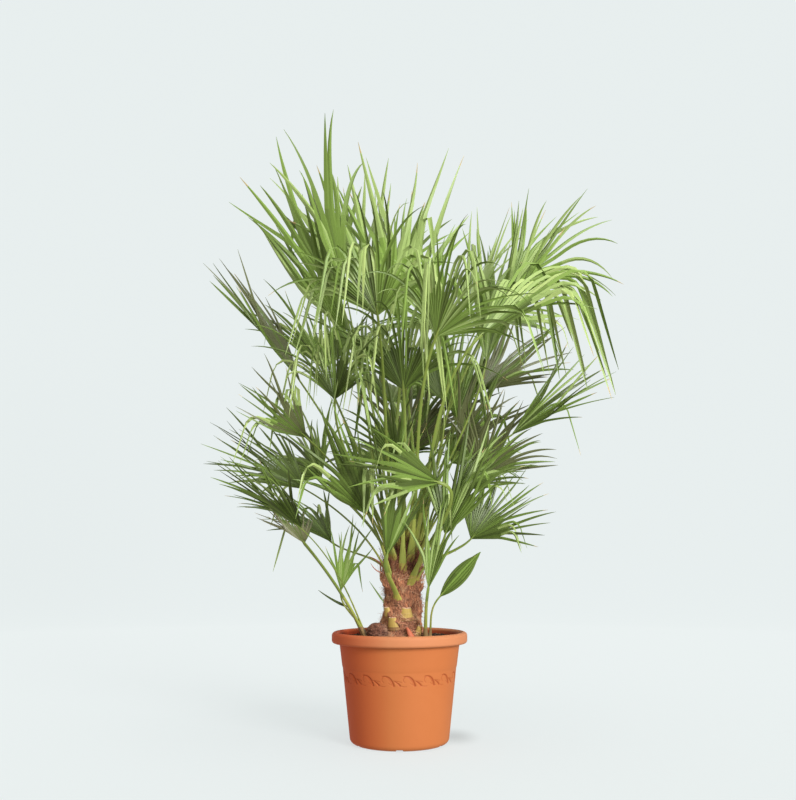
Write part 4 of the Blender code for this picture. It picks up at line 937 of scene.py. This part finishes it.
# the clay: plain tone, two clouded ones, paler on the lip as a painted highlight, shaded toward -X as painted
# shade, and darker in the band's hollows and down the inside as painted shade
clay = dict(tone=(0.515, 0.163, 0.052), roughness=0.55, specular=0.15, cloud=(9, 4, 0.55),
            clouded=((0.490, 0.148, 0.045), (0.550, 0.182, 0.060)), paintedLipHighlight=(0.560, 0.220, 0.100),
            paintedLipHighlightFrom=(0.240, 0.250), shaded=(0.530, 0.088, 0.027), shadedFrom=(-0.15, -0.95),
            paintedHollowShade=(0.260, 0.028, 0.005), paintedHollowShadeShare=0.85, paintedInnerShadeFrom=0.001, paintedInnerShadeOver=0.007,
            grain=(900, 3, 0.7), bump=(0.0004, 0.35))
# pressed strokes of one repeat of the band, in millimetres from its start and middle line: three points of a
# bow, the width at either end, and how deep
bandStrokes = (((-3, 9), (17, 13), (24, -12), (1.0, 2.2), 1.0),
               ((4, 9), (14, 4), (19, -9), (0.8, 1.0), 0.5),
               ((26, -2), (33, -5), (39, -12), (0.9, 1.8), 0.9),
               ((17, -1), (29, 0), (42, -4), (0.9, 0.7), 0.7),
               ((12, -6), (20, -12), (27, -13), (0.7, 0.9), 0.5),
               ((-1, 7), (-8, 2), (0, -5), (0.9, 0.9), 0.45),
               ((-14, -10), (-6, -16), (3, -14), (0.9, 0.9), 0.45))


def bandRelief(u, height):
    # depth at (u, height), 0..1: for the nearest bow, its depth times exp(-(distance / width)^2)
    length = 1000 * math.tau * (pot["foot"] + pot["bandGirth"]) / pot["repeats"]
    x = (u * pot["repeats"] % 1.0) * length
    y = (height - pot["bandHeight"]) * 1000
    depth = np.zeros_like(x)
    t = np.linspace(0, 1, 17)
    for start, middle, end, widths, deep in bandStrokes:
        bow = bowed(t, start, middle, end)
        dx = (x[..., None] - bow[:, 0] + length / 2) % length - length / 2
        near = (dx ** 2 + (y[..., None] - bow[:, 1]) ** 2) / np.linspace(*widths, len(t)) ** 2
        depth = np.maximum(depth, deep * np.exp(-near.min(-1)))
    return depth


def arc(cx, cz, radius, start, end, count):
    angle = np.radians(np.linspace(start, end, count))
    return np.stack([cx + radius * np.cos(angle), cz + radius * np.sin(angle)], axis=-1)


def line(start, end, count):
    # the points after start
    return np.linspace(start, end, count)[1:]


def wallPoint(height, inset=0.0):
    # on the wall's straight slope, between the foot's rounding and the wall's end under the lip
    low, high = pot["footRounding"], pot["height"] - pot["lipHeight"] - pot["wallEnd"]
    return pot["foot"] + (pot["wallTop"] - pot["foot"]) * (height - low) / (high - low) - inset, height


def potProfile():
    # (radius, height) down the outside from the lip's crown, under the foot, and up the inside, and how many
    # of the points are outside
    lip, edge, neck, foot = pot["lipRounding"], pot["lipEdge"], pot["neckRounding"], pot["footRounding"]
    lipBottom, crown = pot["height"] - pot["lipHeight"], pot["height"] - lip
    neckRadius = wallPoint(lipBottom)[0]
    high, low = pot["bandHeight"] + pot["bandReach"], pot["bandHeight"] - pot["bandReach"]
    stepTop = (wallPoint(high)[0], high + pot["stepAbove"])
    bandTop = (wallPoint(high)[0] - pot["step"], high - pot["stepBelow"])
    bandBottom = wallPoint(low, pot["step"] * pot["lowStep"])
    outside = [arc(pot["rimRadius"] - lip, crown, lip, 90, 0, 8),
               line((pot["rimRadius"], crown), (pot["rimRadius"], lipBottom + pot["lipStraight"]), 3),
               arc(pot["rimRadius"] - edge, lipBottom + edge, edge, -10, -90, 6),
               line((pot["rimRadius"] - edge, lipBottom), (neckRadius + neck, lipBottom), 3),
               arc(neckRadius + neck, lipBottom - neck, neck, 90, 180, 4)[1:],
               line((neckRadius, lipBottom - neck), stepTop, 5),
               line(stepTop, bandTop, 4),
               line(bandTop, bandBottom, 44),
               line(bandBottom, (pot["foot"], foot), 7),
               arc(pot["foot"] - foot, foot, foot, 0, -90, 9)[1:],
               line((pot["foot"] - foot, 0.0), (pot["hole"], 0.0), 3)]
    floorEdge = (wallPoint(foot, pot["wall"])[0], pot["floor"])
    innerTop = wallPoint(lipBottom - pot["wallEnd"], pot["wall"])
    inner = pot["rimRadius"] - pot["lipWidth"]
    inside = [line((pot["hole"], 0.0), (pot["hole"], pot["floor"]), 2),
              line((pot["hole"], pot["floor"]), floorEdge, 3),
              line(floorEdge, innerTop, 5),
              line(innerTop, (inner - pot["innerEdge"], crown - pot["innerEdge"]), 4),
              arc(inner + lip, crown, lip, 175, 100, 7)]
    return np.vstack(outside + inside), sum(map(len, outside))


def clayMaterial():
    # clouded clay by place, with painted light: a painted highlight makes the lip paler, and painted shade
    # makes it redder toward -X and darker where the attribute share is high
    material, tree, shader = newMaterial("terracottaPlastic", clay["tone"], clay["roughness"],
                                         **{"Specular IOR Level": clay["specular"]})
    tone = mixColors(tree, objectNoise(tree, *clay["cloud"]), *clay["clouded"])
    place = objectPlace(tree)
    above = makeNode(tree, "ShaderNodeSeparateXYZ", {}, {0: place}, 2)
    # painted highlight: from the lip upward the clay is mixed toward a paler tone
    tone = mixColors(tree, shareOf(tree, above, *clay["paintedLipHighlightFrom"]), tone, clay["paintedLipHighlight"])
    level = makeNode(tree, "ShaderNodeVectorMath", dict(operation="MULTIPLY"), {0: place, 1: (1, 1, 0)})
    bearing = makeNode(tree, "ShaderNodeVectorMath", dict(operation="NORMALIZE"), {0: level})
    leftward = makeNode(tree, "ShaderNodeSeparateXYZ", {}, {0: bearing}, 0)
    # painted shade: toward -X the clay is mixed toward a redder, darker tone
    tone = mixColors(tree, shareOf(tree, leftward, *clay["shadedFrom"]), tone, clay["shaded"])
    # painted shade: the attribute share darkens the clay in the band's hollows and down the inside wall
    paintedHollowShade = makeNode(tree, "ShaderNodeAttribute", dict(attribute_name="share"), {}, 2)
    feed(tree, shader, "Base Color", mixColors(tree, paintedHollowShade * clay["paintedHollowShadeShare"], tone, clay["paintedHollowShade"]))
    bumpFrom(tree, shader, objectNoise(tree, *clay["grain"]), *clay["bump"])
    return material


def buildPot():
    # surface(a, s) = profile(s) turned about Z; on the band the radius loses depth * relief, and at each
    # drain notch the foot is lifted to the notch's height
    profile, outsideRows = potProfile()
    u, row = np.meshgrid(np.arange(pot["columns"]) / pot["columns"], np.arange(len(profile)))
    radius, height = profile[row, 0], profile[row, 1]
    outside = row < outsideRows
    onBand = outside & (np.abs(height - pot["bandHeight"]) <= pot["bandReach"])
    relief = np.zeros_like(radius)
    relief[onBand] = bandRelief(u[onBand], height[onBand])
    radius = radius - pot["bandDepth"] * relief
    turn = (u + pot["notchTurn"]) * pot["notches"] % 1.0
    fromNotch = np.minimum(turn, 1 - turn) / pot["notches"] * math.tau * pot["foot"]
    lift = np.clip(((pot["notchWidth"] + pot["notchEase"]) / 2 - fromNotch) / pot["notchEase"], 0, 1)
    lift = lift * (radius > pot["foot"] - pot["notchReach"])
    lifted = outside & (height < pot["notchHeight"])
    height = np.where(lifted, height + lift * (pot["notchHeight"] - height), height)
    points = np.stack([radius * np.cos(math.tau * u), radius * np.sin(math.tau * u), height], axis=-1)
    rows, columns = points.shape[:2]
    c = np.arange(columns)
    last = (rows - 1) * columns
    seam = np.stack([last + c, c, (c + 1) % columns, last + (c + 1) % columns], axis=-1)
    quads = np.concatenate([gridFaces(rows, columns, True)[:, ::-1], seam[:, ::-1]])
    # painted shade for the attribute share: the band's depth outside, and inside from 0 at the rim's top to 1 a
    # little way down
    paintedInnerShade = np.clip((pot["height"] - clay["paintedInnerShadeFrom"] - height) / clay["paintedInnerShadeOver"], 0, 1)
    piece = meshFrom("potShell", points, quads, [clayMaterial()], attribute=np.where(outside, relief, paintedInnerShade))
    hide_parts("pot")
    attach(piece, "root")
    print("pot:", rows * columns, "points")


lights = dict(
    key=dict(place=(2.0, -3.0, 1.5), aim=(0, 0, 0.7), size=1.4, watts=145, tone=(1.0, 0.99, 0.97)),
    top=dict(place=(0.4, -0.9, 3.6), aim=(0, 0, 0.8), size=2.2, watts=42, tone=(1.0, 1.0, 0.98)))
air = dict(tone=(1.0, 0.94, 0.84), strength=0.56)
# the stage's paper: the colour it is to be seen in, its own tone, and a soft painted shadow beside the pot's
# foot
stage = dict(seen=(0.795, 0.850, 0.850), tone=(0.160, 0.172, 0.174), roughness=0.9, lampFull=1.6,
             lampGain=0.100, floorRadius=4.2, bend=1.8, top=8.0, columns=120, floorRows=36, bendRows=24,
             wallRows=12, middle=0.01, shadePlace=(0.140, 0.080, 0.0), shadeReach=(0.075, 0.140, 1.0),
             shadeDepth=0.45, shadeLamps=2)


def lampLight(points, normals):
    # the lamps' light on each point: watts * cosine here * cosine at the lamp / distance^2
    total = 0
    for light in lights.values():
        place = np.array(light["place"])
        away = place - points
        distance = np.linalg.norm(away, axis=-1)
        aim = unit(place - np.array(light["aim"]))
        cosines = np.clip((away * normals).sum(-1), 0, None) * np.clip((away * aim).sum(-1), 0, None)
        total = total + light["watts"] * cosines / distance ** 4
    return total * stage["lampGain"]


def paperMaterial():
    # the paper's own glow = seen - tone * (air + lamps), the lamps' part by the attribute share, so that floor
    # and wall come out as one pale tone; near shadePlace, over shadeReach, the glow is lowered softly as a
    # painted shadow
    tone = np.array(stage["tone"])
    unlit = np.array(stage["seen"]) - tone * np.array(air["tone"]) * air["strength"]
    paper, tree, shader = newMaterial("palePaper", stage["tone"], stage["roughness"])
    lit = makeNode(tree, "ShaderNodeAttribute", dict(attribute_name="share"), {}, 2)
    glow = mixColors(tree, lit, tuple(unlit), tuple(unlit - tone * stage["lampFull"]))
    aside = makeNode(tree, "ShaderNodeMapping", dict(vector_type="TEXTURE"),
                     {0: objectPlace(tree), 1: stage["shadePlace"], 3: stage["shadeReach"]})
    apart = makeNode(tree, "ShaderNodeVectorMath", dict(operation="LENGTH"), {0: aside}, 1)
    # painted shadow: the glow falls toward a darker tone near shadePlace
    shade = makeNode(tree, "ShaderNodeMapRange", dict(interpolation_type="SMOOTHSTEP"),
                     {0: apart, 1: 1.0, 2: 0.0, 3: 0.0, 4: stage["shadeDepth"]})
    darkest = tuple(unlit - tone * stage["lampFull"] * stage["shadeLamps"])
    feed(tree, shader, "Emission Color", mixColors(tree, shade, glow, darkest))
    shader.inputs["Emission Strength"].default_value = 1.0
    return paper


def buildStage():
    # a turned bowl: flat floor, quarter round, wall; point = (r(t) cos a, r(t) sin a, z(t))
    lean = np.linspace(0, math.pi / 2, stage["bendRows"])
    floor = np.linspace(stage["middle"], stage["floorRadius"], stage["floorRows"])[:-1]
    wall = np.linspace(stage["bend"], stage["top"], stage["wallRows"])[1:]
    r = np.concatenate([floor, stage["floorRadius"] + stage["bend"] * np.sin(lean),
                        np.full(len(wall), stage["floorRadius"] + stage["bend"])])
    z = np.concatenate([0 * floor, stage["bend"] * (1 - np.cos(lean)), wall])
    lean = np.concatenate([0 * floor, lean, np.full(len(wall), math.pi / 2)])
    turn = np.arange(stage["columns"]) * math.tau / stage["columns"]
    around = np.stack([np.cos(turn), np.sin(turn), 0 * turn], axis=-1)
    points = r[:, None, None] * around + z[:, None, None] * up
    normals = np.cos(lean)[:, None, None] * up - np.sin(lean)[:, None, None] * around
    bowl = meshFrom("paleFloor", points, gridFaces(len(r), len(turn), True), [paperMaterial()],
                    caps=[range(len(turn))[::-1]], attribute=lampLight(points, normals) / stage["lampFull"])
    bowl.visible_diffuse = bowl.visible_glossy = False
    print("stage: bowl", stage["floorRadius"] + stage["bend"], "m in radius")


def addLights():
    for name, light in lights.items():
        data = bpy.data.lights.new(name + "Light", "AREA")
        data.energy, data.size, data.color = light["watts"], light["size"], light["tone"]
        lamp = bpy.data.objects.new(name + "Light", data)
        lamp.location = light["place"]
        ahead = Vector(light["aim"]) - Vector(light["place"])
        lamp.rotation_euler = ahead.to_track_quat("-Z", "Y").to_euler()
        bpy.context.scene.collection.objects.link(lamp)
    world = bpy.data.worlds.new("studioAir")
    world.use_nodes = True
    backdrop = world.node_tree.nodes["Background"]
    backdrop.inputs["Color"].default_value = (*air["tone"], 1.0)
    backdrop.inputs["Strength"].default_value = air["strength"]
    bpy.context.scene.world = world
    print("lights:", len(lights))


addCamera()
buildFronds()
buildTrunk()
buildStubs()
buildBud()
buildDrySheath()
buildSoil()
buildPot()
buildStage()
addLights()
